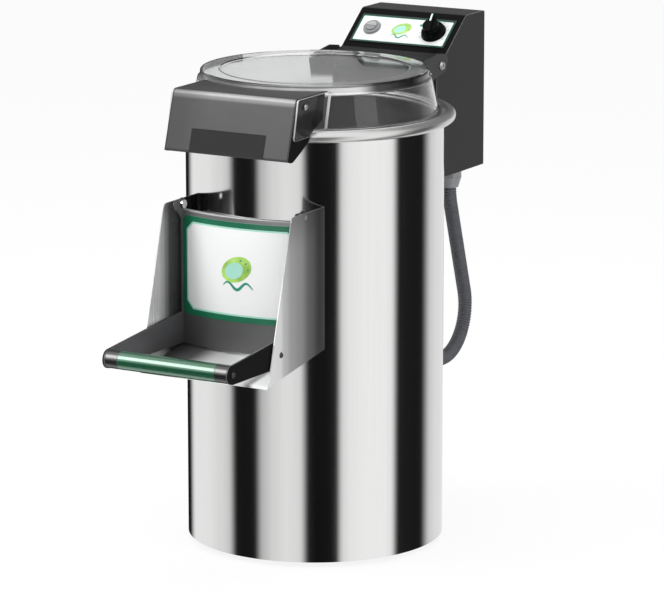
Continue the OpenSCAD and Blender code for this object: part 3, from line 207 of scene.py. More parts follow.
MATS = {
    "drum": material(
        "polished_steel", (0.86, 0.86, 0.855), 0.10, 1, 0.015, 0.015, 4, BRUSH_UP, 0.015, 20, 0.00003
    ),
    "steel": material(
        "brushed_steel", (0.74, 0.745, 0.75), 0.24, 1, 0.02, 0.02, 6, BRUSH_UP, 0.03, 40, 0.00004
    ),
    # Cheek steel whose colour darkens towards the drum and towards the top: painted shade.
    "cheek": material(
        "cheek_steel_painted_shade", (0.97, 0.97, 0.97), 0.30, 0.5, 0.012, 0.02, 5, BRUSH_UP, 0.02, 30, 0.00003,
        along=[("Y", [(-0.30, 1.0), (-0.272, 0.95), (-0.257, 0.66), (-0.236, 0.46), (-0.212, 0.38), (-0.182, 0.17),
                      (-0.15, 0.03)]),
               ("Z", [(0.50, 1.0), (0.572, 0.6)])]
    ),
    # Inward faces of the cheeks, darkened the same way and more steeply: painted shade.
    "cheek_inside_painted_shade": material(
        "cheek_inside_painted_shade", (0.97, 0.97, 0.97), 0.26, 0.5, 0.012, 0.02, 5, BRUSH_UP, 0.02, 30, 0.00003,
        along=[("Y", [(-0.30, 1.0), (-0.255, 0.9), (-0.242, 0.6), (-0.232, 0.28), (-0.221, 0.07), (-0.19, 0.02),
                      (-0.12, 0.01)]),
               ("Z", [(0.525, 1.0), (0.572, 0.5)])]
    ),
    # Chute floor steel with painted shadows: dark at the left edge and in a strip under the right arm, bright
    # between.
    "tray": material(
        "chute_steel_painted_shadows", (0.98, 0.98, 0.98), 0.40, 0.1, 0.012, 0.03, 6, BRUSH_X, 0.03, 40, 0.00004,
        along=[("X", [(-0.11, 0.05), (-0.07, 0.16), (-0.025, 0.9), (0.035, 1.0), (0.064, 0.7), (0.077, 0.2),
                      (0.088, 0.95), (0.112, 1.0)])]
    ),
    # Door sheet steel, darkened from the top lip down over the lower band: painted shade.
    "door_steel": material(
        "door_steel", (0.72, 0.72, 0.73), 0.34, 0.6, 0.02, 0.02, 6, BRUSH_X, 0.02, 40, 0.00004,
        along=[("Z", [(0.34, 0.24), (0.50, 0.26), (0.543, 0.4), (0.556, 0.8)])]
    ),
    "inner": material(
        "plain_steel", (0.62, 0.63, 0.64), 0.30, 1, 0.06, 0.07, 9, BRUSH_ROUND, 0.1, 60, 0.00005
    ),
    "rim": material(
        "satin_rim", (0.86, 0.86, 0.85), 0.33, 1, 0.02, 0.05, 7, BRUSH_ROUND, 0.05, 60, 0.00005
    ),
    "black_metal": material(
        "black_paint", (0.022, 0.022, 0.024), 0.38, 0, 0.2, 0.06, 25, bump=0.15, bump_scale=900,
        bump_depth=0.00006, Coat_Weight=0.15, Coat_Roughness=0.2
    ),
    # Dark grey: the motor cradle's paint, and on the door arms' stainless a darkening that is painted shade.
    "grey_metal": material(
        "dark_grey_paint_and_painted_shade", (0.12, 0.12, 0.125), 0.38, 0.5, 0.08, 0.05, 20, bump=0.12, bump_scale=800, bump_depth=0.00005
    ),
    "bright": material("bright_steel", (0.70, 0.70, 0.71), 0.22, 1, 0.06, 0.06, 60, bump=0.05, bump_scale=900),
    "cast": material(
        "cast_alloy", (0.50, 0.51, 0.52), 0.5, 0.9, 0.12, 0.1, 40, bump=0.5, bump_scale=450, bump_depth=0.0002
    ),
    "grit": material(
        "abrasive_grit", (0.10, 0.105, 0.11), 0.75, 0, 0.55, 0.15, 420, bump=1.0, bump_scale=650,
        bump_depth=0.0009, tint=(0.26, 0.26, 0.27)
    ),
    "grit_wall": material(
        "abrasive_lining_grit", (0.12, 0.125, 0.125), 0.7, 0, 0.5, 0.15, 380, bump=0.9, bump_scale=600,
        bump_depth=0.0007, tint=(0.27, 0.27, 0.27)
    ),
    "iron": material(
        "painted_casting", (0.16, 0.17, 0.18), 0.5, 0, 0.15, 0.1, 30, bump=0.4, bump_scale=350, bump_depth=0.0002
    ),
    "rubber": material(
        "black_rubber", (0.018, 0.018, 0.018), 0.72, 0, 0.25, 0.08, 60, bump=0.25, bump_scale=700,
        bump_depth=0.00008
    ),
    "seal": material(
        "grey_rubber", (0.10, 0.10, 0.10), 0.62, 0, 0.2, 0.08, 60, bump=0.2, bump_scale=700, bump_depth=0.00008
    ),
    "brass": material("turned_brass", (0.72, 0.52, 0.24), 0.28, 1, 0.08, 0.07, 40, bump=0.1, bump_scale=600),
    "black": material(
        "satin_black", (0.021, 0.021, 0.022), 0.34, 0, 0.10, 0.03, 22, bump=0.2, bump_scale=1300,
        bump_depth=0.00005, Specular_IOR_Level=0.2
    ),
    # Light grey for the rounded edges of the black box: painted highlight along them.
    "black_painted_edge_highlight": material(
        "satin_black_painted_edge_highlight", (0.26, 0.26, 0.262), 0.26, 0, 0.10, 0.03, 22, bump=0.1, bump_scale=1300,
        bump_depth=0.00004, Specular_IOR_Level=0.6
    ),
    "jet": material(
        "jet_black", (0.0055, 0.0055, 0.006), 0.34, 0, 0.1, 0.04, 22, bump=0.15, bump_scale=1300,
        bump_depth=0.00005, Specular_IOR_Level=0.04
    ),
    # Hood front: colour lifted above the black hood as painted sheen, peaking in a painted highlight along the top
    # crease, falling to painted shade at the bottom edge and side bends.
    "graphite_painted_light": material(
        "graphite_painted_light_moulding", (0.80, 0.80, 0.81), 0.32, 0, 0.06, 0.03, 16, bump=0.2, bump_scale=1400,
        bump_depth=0.00005, IOR=1.45, tint=(0.85, 0.85, 0.86),
        along=[
            ("Z", [(0.6455, 0.005), (0.6485, 0.008), (0.6505, 0.075), (0.7225, 0.08), (0.7285, 0.30), (0.7318, 0.56),
                   (0.7345, 0.40), (0.7358, 0.055), (0.737, 0.05)]),
            ("X", [(-0.1072, 0.1), (-0.1052, 0.2), (-0.1042, 0.55), (-0.03, 1.0), (0.1036, 1.0), (0.1046, 0.15),
                   (0.1072, 0.08)]),
        ]
    ),
    "recess": material(
        "bare_recess", (0.020, 0.020, 0.021), 0.50, 0, 0.1, 0.04, 30, bump=0.3, bump_scale=1500,
        bump_depth=0.00006, Specular_IOR_Level=0.2
    ),
    "grey": material(
        "grey_plastic", (0.26, 0.265, 0.27), 0.42, 0, 0.08, 0.06, 30, bump=0.2, bump_scale=1100, bump_depth=0.00006
    ),
    "grey_light": material(
        "light_grey_plastic", (0.40, 0.405, 0.41), 0.36, 0, 0.05, 0.05, 30, bump=0.15, bump_scale=1100,
        bump_depth=0.00005
    ),
    "ribbed": material(
        "conduit_grey", (0.085, 0.09, 0.10), 0.42, 0, 0.15, 0.06, 60, bump=0.15, bump_scale=900, bump_depth=0.00005
    ),
    "white": material(
        "printed_white", (0.86, 0.875, 0.87), 0.32, 0, 0.015, 0.04, 10, bump=0.05, bump_scale=900, Coat_Weight=0.25
    ),
    "label_white": material("label_white", (0.97, 0.975, 0.975), 0.30, 0, 0.005, 0.03, 10, Coat_Weight=0.3),
    "dark_green": material("dark_green_print", (0.010, 0.165, 0.082), 0.34, 0, 0.08, 0.04, 30, Coat_Weight=0.25),
    "deep_green": material("deep_green_print", (0.006, 0.03, 0.02), 0.34, 0, 0.08, 0.04, 30, Coat_Weight=0.2),
    "mint": material("mint_print", (0.42, 0.80, 0.66), 0.34, 0, 0.04, 0.04, 30, Coat_Weight=0.25),
    "lime": material(
        "lime_print", (0.27, 0.55, 0.07), 0.32, 0, 0.22, 0.04, 45, tint=(0.45, 0.72, 0.16), Coat_Weight=0.25
    ),
    "teal": material("teal_print", (0.02, 0.32, 0.20), 0.34, 0, 0.08, 0.04, 30, Coat_Weight=0.25),
    "ink": material("dark_print", (0.03, 0.03, 0.035), 0.4, 0, 0.1, 0.04, 30),
    "tube": material(
        "green_anodised", (0.018, 0.15, 0.068), 0.28, 0.5, 0.06, 0.04, 8, BRUSH_X, 0.04, 60, 0.00005,
        Coat_Weight=1.0, Coat_Roughness=0.14, Coat_IOR=2.2
    ),
    # Steel of the handle's end pieces, darkened: painted shade.
    "sleeve": material(
        "sleeve_steel_painted_shade", (0.17, 0.17, 0.17), 0.28, 1, 0.03, 0.03, 8, BRUSH_X, 0.04, 60, 0.00005
    ),
    "dark_screw": material("dark_screw", (0.10, 0.10, 0.10), 0.35, 0.8, 0.06, 0.05, 60, bump=0.05, bump_scale=900),
    # Chamber steel darkened all over, painted shade for the dark inside of the drum.
    "chamber": material(
        "chamber_steel_painted_shade", (0.30, 0.29, 0.29), 0.20, 1, 0.04, 0.05, 9, BRUSH_ROUND, 0.03, 60, 0.00004
    ),
    "dull": material(
        "dull_black", (0.035, 0.035, 0.038), 0.55, 0, 0.2, 0.08, 40, bump=0.2, bump_scale=900, bump_depth=0.00006
    ),
    "pale": material("pale_marker", (0.72, 0.92, 0.80), 0.35, 0, 0.03, 0.04, 40),
}


def clear_plastic(name, rough, ior, share):
    """Clear moulded plastic with the faint surface drag and scuffing of a kitchen lid."""
    return material(
        name, (0.965, 0.97, 0.972), rough, 0, 0.01, 0.02, 16, (1, 1, 1), 0.02, 120, 0.00008,
        IOR=ior, Transmission_Weight=share
    )


MATS["clear"] = clear_plastic("clear_plastic", 0.045, 1.34, 1.0)
# The wings' thin edges made half opaque white: painted highlight for the light caught on them.
MATS["clear_edge_painted_highlight"] = clear_plastic("clear_moulded_edge_painted_highlight", 0.22, 1.45, 0.35)
MATS["clear_wing"] = clear_plastic("clear_wing", 0.03, 1.18, 1.0)
MATS["clear_top"] = clear_plastic("clear_top", 0.05, 1.20, 1.0)
# Step of the dome's plateau: half opaque, its colour graded across, front to back and by height as painted
# reflection and shade.
MATS["clear_step_painted_reflection"] = material(
    "clear_step_painted_reflection", (0.9, 0.9, 0.9), 0.12, 0, 0.02, 0.02, 16, (1, 1, 1), 0.02, 120, 0.00008,
    along=[("X", [(-0.178, 0.4), (-0.12, 0.25), (-0.05, 0.35), (0.02, 0.8), (0.06, 1.0), (0.178, 1.0)]),
           ("Y", [(-0.085, 1.0), (-0.055, 0.1), (0.02, 0.02), (0.09, 0.2)]),
           ("Z", [(0.738, 1.0), (0.7395, 0.22), (0.744, 0.2)])],
    IOR=1.3, Transmission_Weight=0.35
)

NODE_MATS = {
    "base_plate": "inner", "feet": "rubber", "peeling_chamber": "chamber", "abrasive_lining": "grit_wall",
    "outlet_throat": "steel", "bearing_housing": "cast", "shaft_bearings": "bright", "shaft_seal": "rubber",
    "motor": "iron", "motor_cradle": "grey_metal", "drive_belt": "rubber", "drain_outlet": "steel",
    "water_inlet": "brass", "spray_nozzle": "bright", "switch_block": "dull",
    "timer_body": "dull", "contactor": "dull", "lid_switch": "dull", "lid_seal": "seal",
    "door_pad": "inner", "door_seal": "rubber", "abrasive_plate": "grit", "plate_hub": "cast",
    "plate_nut": "bright", "drive_shaft": "bright", "driven_pulley": "cast", "motor_shaft": "bright",
    "motor_pulley": "cast", "box_bracket": "black_metal",
}
for node, key in NODE_MATS.items():
    mesh = NODES[node].data
    mesh.materials.clear()
    mesh.materials.append(MATS[key])

BODY_OF = {n: b for b, names in frame["record"]["behaviour"]["bodies"].items() for n in names}
SLOT_OF = {s["node"]: s["material_slot"] for s in frame["record"]["subparts"]}


# ---------- geometry helpers ----------


def piece(name, mesh, mats, body, slot, *replaced):
    """Makes a mesh into a piece that rides on a body."""
    obj = bpy.data.objects.new(name, mesh)
    bpy.context.scene.collection.objects.link(obj)
    for m in mats if isinstance(mats, (list, tuple)) else [mats]:
        mesh.materials.append(MATS[m])
    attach(obj, body)
    if replaced:
        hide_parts(*replaced)
    return obj


def from_bmesh(name, bm, smooth=True):
    """Turns a bmesh into a mesh with its faces outward, and frees it."""
    mesh = bpy.data.meshes.new(name)
    bmesh.ops.recalc_face_normals(bm, faces=bm.faces)
    bm.to_mesh(mesh)
    bm.free()
    if smooth:
        mesh.polygons.foreach_set("use_smooth", [True] * len(mesh.polygons))
    return mesh


def weighted(obj):
    """Lets large faces lead the shading, with sharp edges kept."""
    mod = obj.modifiers.new("normals", "WEIGHTED_NORMAL")
    mod.keep_sharp = True
    mod.weight = 60
    return obj


def dressed(name, node, key, bevel=0.3, segments=2, edge_slot=-1):
    """A copy of a node's solid with its edges rounded by bevel millimetres, in place of the node."""
    bm = bmesh.new()
    bm.from_mesh(NODES[node].data)
    bmesh.ops.remove_doubles(bm, verts=bm.verts, dist=1e-6)
    bmesh.ops.dissolve_limit(bm, angle_limit=math.radians(0.6), verts=bm.verts, edges=bm.edges)
    obj = piece(name, from_bmesh(name, bm), key, BODY_OF[node], SLOT_OF[node], node)
    mod = obj.modifiers.new("edges", "BEVEL")
    mod.width = bevel * 0.001
    mod.segments = segments
    mod.limit_method = "ANGLE"
    mod.angle_limit = math.radians(32)
    mod.miter_outer = "MITER_ARC"
    mod.material = edge_slot
    return weighted(obj)


def arc_points(p, a, b, r, n):
    """The corner p between a and b, rounded by radius r."""
    u, v = (a - p).normalized(), (b - p).normalized()
    cos_full = max(-1.0, min(1.0, u.dot(v)))
    half = math.acos(cos_full) / 2
    if abs(half - math.pi / 2) < 0.02 or r <= 0:
        return [p]
    d = min(r / math.tan(half), (a - p).length * 0.49, (b - p).length * 0.49)
    r = d * math.tan(half)
    centre = p + (u + v).normalized() * (r / math.sin(half))
    start, end = p + u * d, p + v * d
    out = []
    for i in range(n + 1):
        q = start.lerp(end, i / n)
        out.append(centre + (q - centre).normalized() * r)
    return out


def rounded(points, r, n=4):
    """A closed outline of (u, v) points with its corners rounded; a third value overrides r."""
    pts = [Vector(p[:2]) for p in points]
    out = []
    for i, p in enumerate(pts):
        radius = points[i][2] if len(points[i]) > 2 else r
        out += arc_points(p, pts[i - 1], pts[(i + 1) % len(pts)], radius, n)
    return out


def lathe(outline, turns=256, place=at):
    """Turns a closed outline of (radius, z) points all the way round the drum's axis."""
    bm = bmesh.new()
    rings = []
    for i in range(turns):
        a = math.radians(360.0 * i / turns)
        rings.append([bm.verts.new(place(r * math.cos(a), r * math.sin(a), z)) for r, z in outline])
    for i in range(turns):
        one, two = rings[i], rings[(i + 1) % turns]
        for j in range(len(outline)):
            k = (j + 1) % len(outline)
            bm.faces.new((one[j], two[j], two[k], one[k]))
    bmesh.ops.remove_doubles(bm, verts=bm.verts, dist=1e-7)
    return bm


def along_x(y, z):
    """Places lathe coordinates so that their axis runs along X through (y, z)."""
    return lambda a, b, c: at(c, y + a, z + b)


def plate(name, loops, to3d, base, top, key, body, slot, cell=4.0):
    """A thin plate cut to flat loops (the first is the outside), laid on a surface by to3d(u, v, h)."""
    bm = bmesh.new()
    for loop in loops:
        vs = [bm.verts.new((p[0], p[1], 0)) for p in loop]
        for i in range(len(vs)):
            bm.edges.new((vs[i], vs[(i + 1) % len(vs)]))
    bmesh.ops.triangle_fill(bm, edges=bm.edges, use_beauty=True)
    us = [v.co.x for v in bm.verts]
    if cell:
        u = math.ceil(min(us) / cell) * cell
        while u < max(us):
            bmesh.ops.bisect_plane(
                bm, geom=bm.verts[:] + bm.edges[:] + bm.faces[:], plane_co=(u, 0, 0), plane_no=(1, 0, 0)
            )
            u += cell
    made = bmesh.ops.extrude_face_region(bm, geom=bm.faces[:])
    raised = {v for v in made["geom"] if isinstance(v, bmesh.types.BMVert)}
    for v in bm.verts:
        v.co = to3d(v.co.x, v.co.y, top if v in raised else base)
    mesh = from_bmesh(name, bm, smooth=False)
    return piece(name, mesh, key, body, slot)


def box_loop(u0, u1, v0, v1, r):
    """A rectangle with its corners rounded."""
    return rounded([(u0, v0), (u1, v0), (u1, v1), (u0, v1)], r, 5)


def cut_box(u0, u1, v0, v1, c):
    """A rectangle with its corners cut off."""
    return [
        (u0 + c, v0), (u1 - c, v0), (u1, v0 + c), (u1, v1 - c),
        (u1 - c, v1), (u0 + c, v1), (u0, v1 - c), (u0, v0 + c),
    ]


def oval(u, v, a, b, tilt=0.0, n=40):
    """An ellipse of n points about (u, v), turned by tilt degrees."""
    t = math.radians(tilt)
    out = []
    for i in range(n):
        w = math.radians(360.0 * i / n)
        x, y = a * math.cos(w), b * math.sin(w)
        out.append((u + x * math.cos(t) - y * math.sin(t), v + x * math.sin(t) + y * math.cos(t)))
    return out


def ribbon(points, width):
    """A closed loop round a line of points, tapering at both ends."""
    pts = [Vector(p) for p in points]
    one, two = [], []
    for i, p in enumerate(pts):
        d = (pts[min(i + 1, len(pts) - 1)] - pts[max(i - 1, 0)]).normalized()
        side = Vector((-d.y, d.x)) * width / 2 * (0.25 + 0.75 * math.sin(math.pi * (i + 0.5) / len(pts)))
        one.append(p + side)
        two.append(p - side)
    return one + two[::-1]


# ---------- drum ----------


def casing():
    """The casing's wall, with the openings for the outlet, conduit, drain and water inlet."""
    inner = DRUM_R - DRUM_T
    wall = lathe([(inner, 0), (DRUM_R, 0), (DRUM_R, DRUM_H), (inner, DRUM_H)], 360)
    mesh = from_bmesh("casing_wall", wall)
    obj = bpy.data.objects.new("casing_raw", mesh)
    bpy.context.scene.collection.objects.link(obj)
    cutters = []

    def cutter(bm):
        c = bpy.data.objects.new("cutter", from_bmesh("cutter", bm, False))
        bpy.context.scene.collection.objects.link(c)
        mod = obj.modifiers.new("cut", "BOOLEAN")
        mod.object = c
        mod.solver = "EXACT"
        cutters.append(c)

    half, z0, z1 = OUTLET_HALF + OUTLET_GAP, OUTLET_Z0 - OUTLET_GAP, OUTLET_Z1 + OUTLET_GAP
    bm = bmesh.new()
    bmesh.ops.create_cube(bm, size=1)
    for v in bm.verts:
        v.co = at(v.co.x * 2 * half, -175 + v.co.y * 130, (z0 + z1) / 2 + v.co.z * (z1 - z0))
    cutter(bm)
    # Round openings at the back: the conduit's, the drain's and the water inlet's.
    for x, angle, z, r in ((75.0, 0, 225, 12.7), (0.0, 0, 309, 20.2), (0.0, 42, 624, 10.7)):
        a = math.radians(angle)
        bm = lathe(
            [(0, 150), (r, 150), (r, 230), (0, 230)],
            48,
            lambda p, q, h, x=x, a=a, z=z: at(x + p - h * math.sin(a) - p * (1 - math.cos(a)),
                                              h * math.cos(a) + p * math.sin(a), z + q),
        )
        cutter(bm)
    dg = bpy.context.evaluated_depsgraph_get()
    mesh = bpy.data.meshes.new_from_object(obj.evaluated_get(dg))
    for o in [obj] + cutters:
        bpy.data.objects.remove(o)
    mesh.name = "casing_wall"
    # The wall keeps the shading of a true cylinder beside the openings.
    normals = [None] * len(mesh.loops)
    axis = at(0, 0, 0)
    for p in mesh.polygons:
        p.use_smooth = True
        radial = Vector((p.center.x - axis.x, p.center.y - axis.y, 0)).normalized()
        side = p.normal.dot(radial)
        for li in p.loop_indices:
            co = mesh.vertices[mesh.loops[li].vertex_index].co
            if abs(side) > 0.97:
                v = Vector((co.x - axis.x, co.y - axis.y, 0)).normalized()
                normals[li] = v if side > 0 else -v
            else:
                normals[li] = p.normal.copy()
    mesh.normals_split_custom_set(normals)
    piece("casing_wall", mesh, "drum", "machine", "steel", "outer_casing")


casing()

rim_outline = rounded(
    [(186, 662.5, 0.4), (200.2, 662.5, 0.0)]
    + [
        (208.6 + 9 * math.cos(math.radians(t)), 662.5 + 9 * math.sin(math.radians(t)), 0)
        for t in [-158] + list(range(-150, 156, 8))
    ]
    + [(200.4, 666.0, 2.0), (186, 666.0, 1.2)],
    0.3,
    5,
)
weighted(
    piece("rim_bead", from_bmesh("rim_bead", lathe(rim_outline)), "rim", "machine", "rim_steel", "rim_ring")
)

# ---------- lid ----------

LID_OUT = [
    (195.6, 668.0, 0.8), (195.6, SKIRT_LOW_Z, 1.2), (SKIRT_LOW_R, SKIRT_LOW_Z, 2.0),
    (SKIRT_TOP_R, SKIRT_TOP_Z, 1.8), (177.2, 723.6, 1.2), (DOME_R, 734.5, 3.4), (147.0, 734.5, 2.0),
    (145.0, 732.5, 2.0), (0.0, 732.5, 0.0),
]
LID_IN = [
    (0.0, 729.5, 0.0), (146.4, 729.5, 2.0), (148.2, 731.5, 1.6), (174.0, 731.5, 1.8), (174.0, 720.6, 1.6),
    (178.4, 720.0, 1.6), (188.6, 668.0, 0.8),
]


def wing_back(x, z):
    """The dome's surface at x and height z, a little inside it."""
    r = DOME_R
    if z < SKIRT_TOP_Z:
        share = (z - SKIRT_LOW_Z) / (SKIRT_TOP_Z - SKIRT_LOW_Z)
        r = SKIRT_LOW_R + (SKIRT_TOP_R - SKIRT_LOW_R) * share
    r -= 0.6
    return -math.sqrt(r * r - x * x)


def lid():
    """The clear dome with the two clear wings that carry the hood, in one piece."""
    bm = lathe(rounded(LID_OUT + LID_IN, 1.0, 5))
    bm.normal_update()
    axis = at(0, 0, 0)
    # The front of the plateau's step takes the step plastic with its painted reflection and shade; the plateau's top
    # faces take the top plastic.
    for face in bm.faces:
        c = face.calc_center_median() - axis
        if c.y < 0.06 and math.hypot(c.x, c.y) > 0.1735 and 0.7205 < c.z < 0.7338:
            face.material_index = 3
        elif c.z > 0.7290 and abs(face.normal.z) > 0.5:
            face.material_index = 4
    front = rounded(
        [(-198.0, 672.5, 0), (-205.0, 667.5, 1.5), (-254.0, 666.5, 5.0), (-240.5, WING_TOP, 5.0),
         (-150.0, WING_TOP, 0)],
        0.0, 6,
    )[:-1]
    heights = [WING_TOP, 722.7, 722.5] + [722.5 - WING_DROP * k / 12 for k in range(1, 13)]
    for side in (-1, 1):
        loops = []
        for x in (WING_IN, WING_OUT):
            nose = [bm.verts.new(at(side * x, y, z)) for y, z in front]
            root = [bm.verts.new(at(side * x, wing_back(x, z), z)) for z in heights]
            seam = [bm.verts.new(at(side * x, wing_back(x, z) - WING_SEAM, z)) for z in heights]
            bm.faces.new(nose + seam).material_index = 2
            # The wings' narrow faces take the edge plastic, whose whiteness is a painted highlight.
            for k in range(len(heights) - 1):
                bm.faces.new((seam[k], root[k], root[k + 1], seam[k + 1])).material_index = 1
            loops.append(nose + [seam[0]] + root + [seam[-1]])
        for i in range(len(loops[0])):
            k = (i + 1) % len(loops[0])
            side_face = bm.faces.new((loops[0][i], loops[0][k], loops[1][k], loops[1][i]))
            side_face.material_index = 1
    mesh = from_bmesh("clear_lid", bm)
    mesh.set_sharp_from_angle(angle=math.radians(50))
    keys = ("clear", "clear_edge_painted_highlight", "clear_wing", "clear_step_painted_reflection", "clear_top")
    weighted(piece("clear_lid", mesh, keys, "lid", "clear", "lid_dome"))


lid()

hood = dressed("hood_cover", "hood", ("graphite_painted_light", "jet"), 0.5)
# The hood is one black moulding: sides, underside and back take plain jet black, while the front keeps the lighter
# colour, which is painted sheen.
for face in hood.data.polygons:
    if abs(face.normal.x) > 0.5 or face.normal.z < -0.6 or face.normal.y > 0.2:
        face.material_index = 1
dressed("lid_hinge_arms", "lid_hinge", "black_metal", 0.5)
dressed("lid_screw_heads", "lid_screws", "bright", 0.15)


def in_recess(u, v, h):
    """A point of the bare recess in the hood's front: v up the front, h out of the recess's floor."""
    out = h - RECESS_DEPTH
    return at(
        u,
        HOOD_Y + v * math.cos(HOOD_LEAN) - out * math.sin(HOOD_LEAN),
        HOOD_Z + v * math.sin(HOOD_LEAN) - out * math.cos(HOOD_LEAN),
    )


plate(
    "hood_recess_floor", [box_loop(-63.9, 63.9, 1.0, 36.4, 1.2)], in_recess, 0.0, 0.12, "recess", "lid",
    "black_plastic", 0
)

# ---------- chute and door ----------

# Faces turned inward take the inner cheek colour; both cheek colours carry painted shade.
for side, inward in (("left", 1), ("right", -1)):
    cheek = dressed("cheek_" + side, side + "_cheek", ("cheek", "cheek_inside_painted_shade"), 0.3)
    for face in cheek.data.polygons:
        if face.normal.x * inward > 0.7:
            face.material_index = 1
dressed("chute_tray", "chute_floor", "tray", 0.3)
dressed("cheek_screw_heads", "cheek_screws", "dark_screw", 0.15)
dressed("door_pins", "door_pivots", "bright", 0.2)
# The door arms' stainless takes the dark grey: painted shade.
dressed("door_arms", "door_frame", "grey_metal", 0.35)
dressed("door_sheet", "door_panel", "door_steel", 0.3)
dressed("arm_shells", "arm_covers", "jet", 0.6, 3)
dressed("handle_screw_heads", "handle_screws", "dark_screw", 0.15)

LABEL = (-103.7, 103.7, 379.3, 532.7)
WHITE = (-93.0, 93.0, 391.0, 521.5)
sheet = plate("label_plate", [cut_box(*LABEL, 7)], on_label, -0.75, 0.0, "label_white", "door", "white_plate")
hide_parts("door_label")
outer = cut_box(*LABEL, 7)
middle = cut_box(WHITE[0] - 2.6, WHITE[1] + 2.6, WHITE[2] - 2.6, WHITE[3] + 2.6, 12.5)
inner = cut_box(*WHITE, 11.5)
plate("label_border", [outer, middle], on_label, -0.05, 0.12, "dark_green", "door", "white_plate")
plate("label_line", [middle, inner], on_label, -0.05, 0.12, "mint", "door", "white_plate")


def potato(prefix, to3d, u, v, k, body, slot, thick=0.1, cell=4.0):
    """A plain potato half peeled, with its peel hanging as a curl: a generic sign for the machine's use."""
    plate(prefix + "_body", [oval(u, v, 21 * k, 14.5 * k, 24)], to3d, -0.05, thick, "lime", body, slot, cell)
    plate(
        prefix + "_cut", [oval(u - 3 * k, v - 1.5 * k, 12.5 * k, 9.5 * k, 24)], to3d, thick * 0.5, thick * 1.6,
        "mint", body, slot, cell
    )
    peel = [
        (u + k * (-18 + 40 * t), v + k * (-19.5 + 4.2 * math.sin(2 * math.pi * 1.6 * t)))
        for t in [i / 24 for i in range(25)]
    ]
    plate(prefix + "_peel", [ribbon(peel, 3.6 * k)], to3d, -0.05, thick, "teal", body, slot, cell)
    for i, (du, dv) in enumerate(((13, 8), (15.5, 1), (6, 11))):
        plate(
            f"{prefix}_eye_{i}", [oval(u + du * k, v + dv * k, 1.5 * k, 1.0 * k, 40, 14)], to3d, thick * 0.5,
            thick * 1.6, "teal", body, slot, 0
        )


potato("label_sign", on_label, 0, 460, 1.3, "door", "white_plate")

# The drum's stripes run down to the door's edge, so the door's own pieces stay out of reflections.
for obj in bpy.data.objects:
    if obj.name.startswith(("door_arms", "door_pins", "door_sheet", "label_", "cheek_screw_heads")):
        obj.visible_glossy = False

# Handle bar: coloured tube between two steel end pieces, whose steel is darkened as painted shade.
tube = rounded([(12, -TUBE_HALF), (14, -TUBE_HALF), (14, TUBE_HALF), (12, TUBE_HALF)], 0.3, 3)
weighted(
    piece("handle_grip", from_bmesh("handle_grip", lathe(tube, 96, along_x(-BAR_Y, BAR_Z))), "tube", "door",
          "green_tube", "handle_tube")
)
bm_ends = bmesh.new()
for side in (-1, 1):
    end = rounded(
        [(2.6, side * 74), (11.9, side * 74), (11.9, side * 83.6), (13.95, side * 83.6, 0.5),
         (13.95, side * BAR_HALF, 0.5), (2.6, side * BAR_HALF)],
        0.1, 3,
    )
    part = lathe(end, 96, along_x(-BAR_Y, BAR_Z))
    tmp = bpy.data.meshes.new("end")
    part.to_mesh(tmp)
    part.free()
    bm_ends.from_mesh(tmp)
    bpy.data.meshes.remove(tmp)
weighted(piece("handle_ends", from_bmesh("handle_ends", bm_ends), "sleeve", "door", "steel", "handle_sleeves"))

# ---------- control box ----------

# The box's bevelled edges take the light edge colour: painted highlight.
box = dressed("box_shell", "control_box", ("black", "black_painted_edge_highlight", "jet"), 2.0, 4, edge_slot=1)
# The sloped front round the panel takes jet black, darker than the rest of the box: painted shade.
for face in box.data.polygons:
    if face.normal.y < -0.4 and face.normal.z > 0.5:
        face.material_index = 2
dressed("box_rear_cover", "rear_cover", "black", 0.4)
dressed("box_screw_heads", "box_screws", "bright", 0.15)
panel = dressed("panel_base", "panel_plate", ("white", "jet"), 0.2)
for face in panel.data.polygons:
    if face.normal.z < 0.7:
        face.material_index = 1
dressed("pivot_screws", "lid_pivots", "bright", 0.25)
dressed("bezel_ring", "button_bezel", "grey", 0.5, 3)
dressed("start_half", "start_button", "grey_light", 0.4)
dressed("stop_half", "stop_button", "grey", 0.4)
dressed("knob_body", "timer_knob", "jet", 0.6, 3)
dressed("gland_pair", "conduit_glands", "grey", 0.4)
dressed("mains_gland_body", "mains_gland", "grey", 0.4)

frame_out = box_loop(-85.15, 85.15, 11.85, 72.15, 1.0)
frame_in = box_loop(-82.0, 82.0, 14.8, 68.2, 2.5)
frame_line = box_loop(-81.2, 81.2, 15.6, 67.4, 2.2)


def on_panel(u, v, h):
    """A point h above the panel's face."""
    return on_slope(u, v, PANEL_T + h)


def on_button(u, v, h):
    """A point h above the buttons' faces."""
    return on_panel(u, v, BUTTON_TOP + h)


plate("panel_border", [frame_out, frame_in], on_panel, -0.05, 0.12, "deep_green", "machine", "white_plate", 0)
plate("panel_line", [frame_in, frame_line], on_panel, -0.05, 0.1, "teal", "machine", "white_plate", 0)
potato("panel_sign", on_panel, -4, 45, 0.82, "machine", "white_plate", 0.08, 0)
for i in range(DIAL_MARKS):
    a = math.radians(210 - 24 * i)
    c, s = math.cos(a), math.sin(a)
    w = 0.35 if i % 5 else 0.6
    corners = ((DIAL_R0, w), (DIAL_R0, -w), (DIAL_R1, -w), (DIAL_R1, w))
    plate(
        f"dial_mark_{i}", [[(KNOB_X + r * c - q * s, CONTROL_S + r * s + q * c) for r, q in corners]],
        on_panel, -0.05, 0.08, "teal" if i else "dark_green", "machine", "white_plate", 0,
    )
plate("dial_start", [oval(KNOB_X - 27, CONTROL_S + 13, 3.4, 2.6)], on_panel, -0.05, 0.1, "teal", "machine",
      "white_plate", 0)
plate("start_sign", [box_loop(BUTTON_X - 0.9, BUTTON_X + 0.9, 44.8, 49.6, 0.3)], on_button, -0.05, 0.1, "ink",
      "start_push", "grey_plastic", 0)
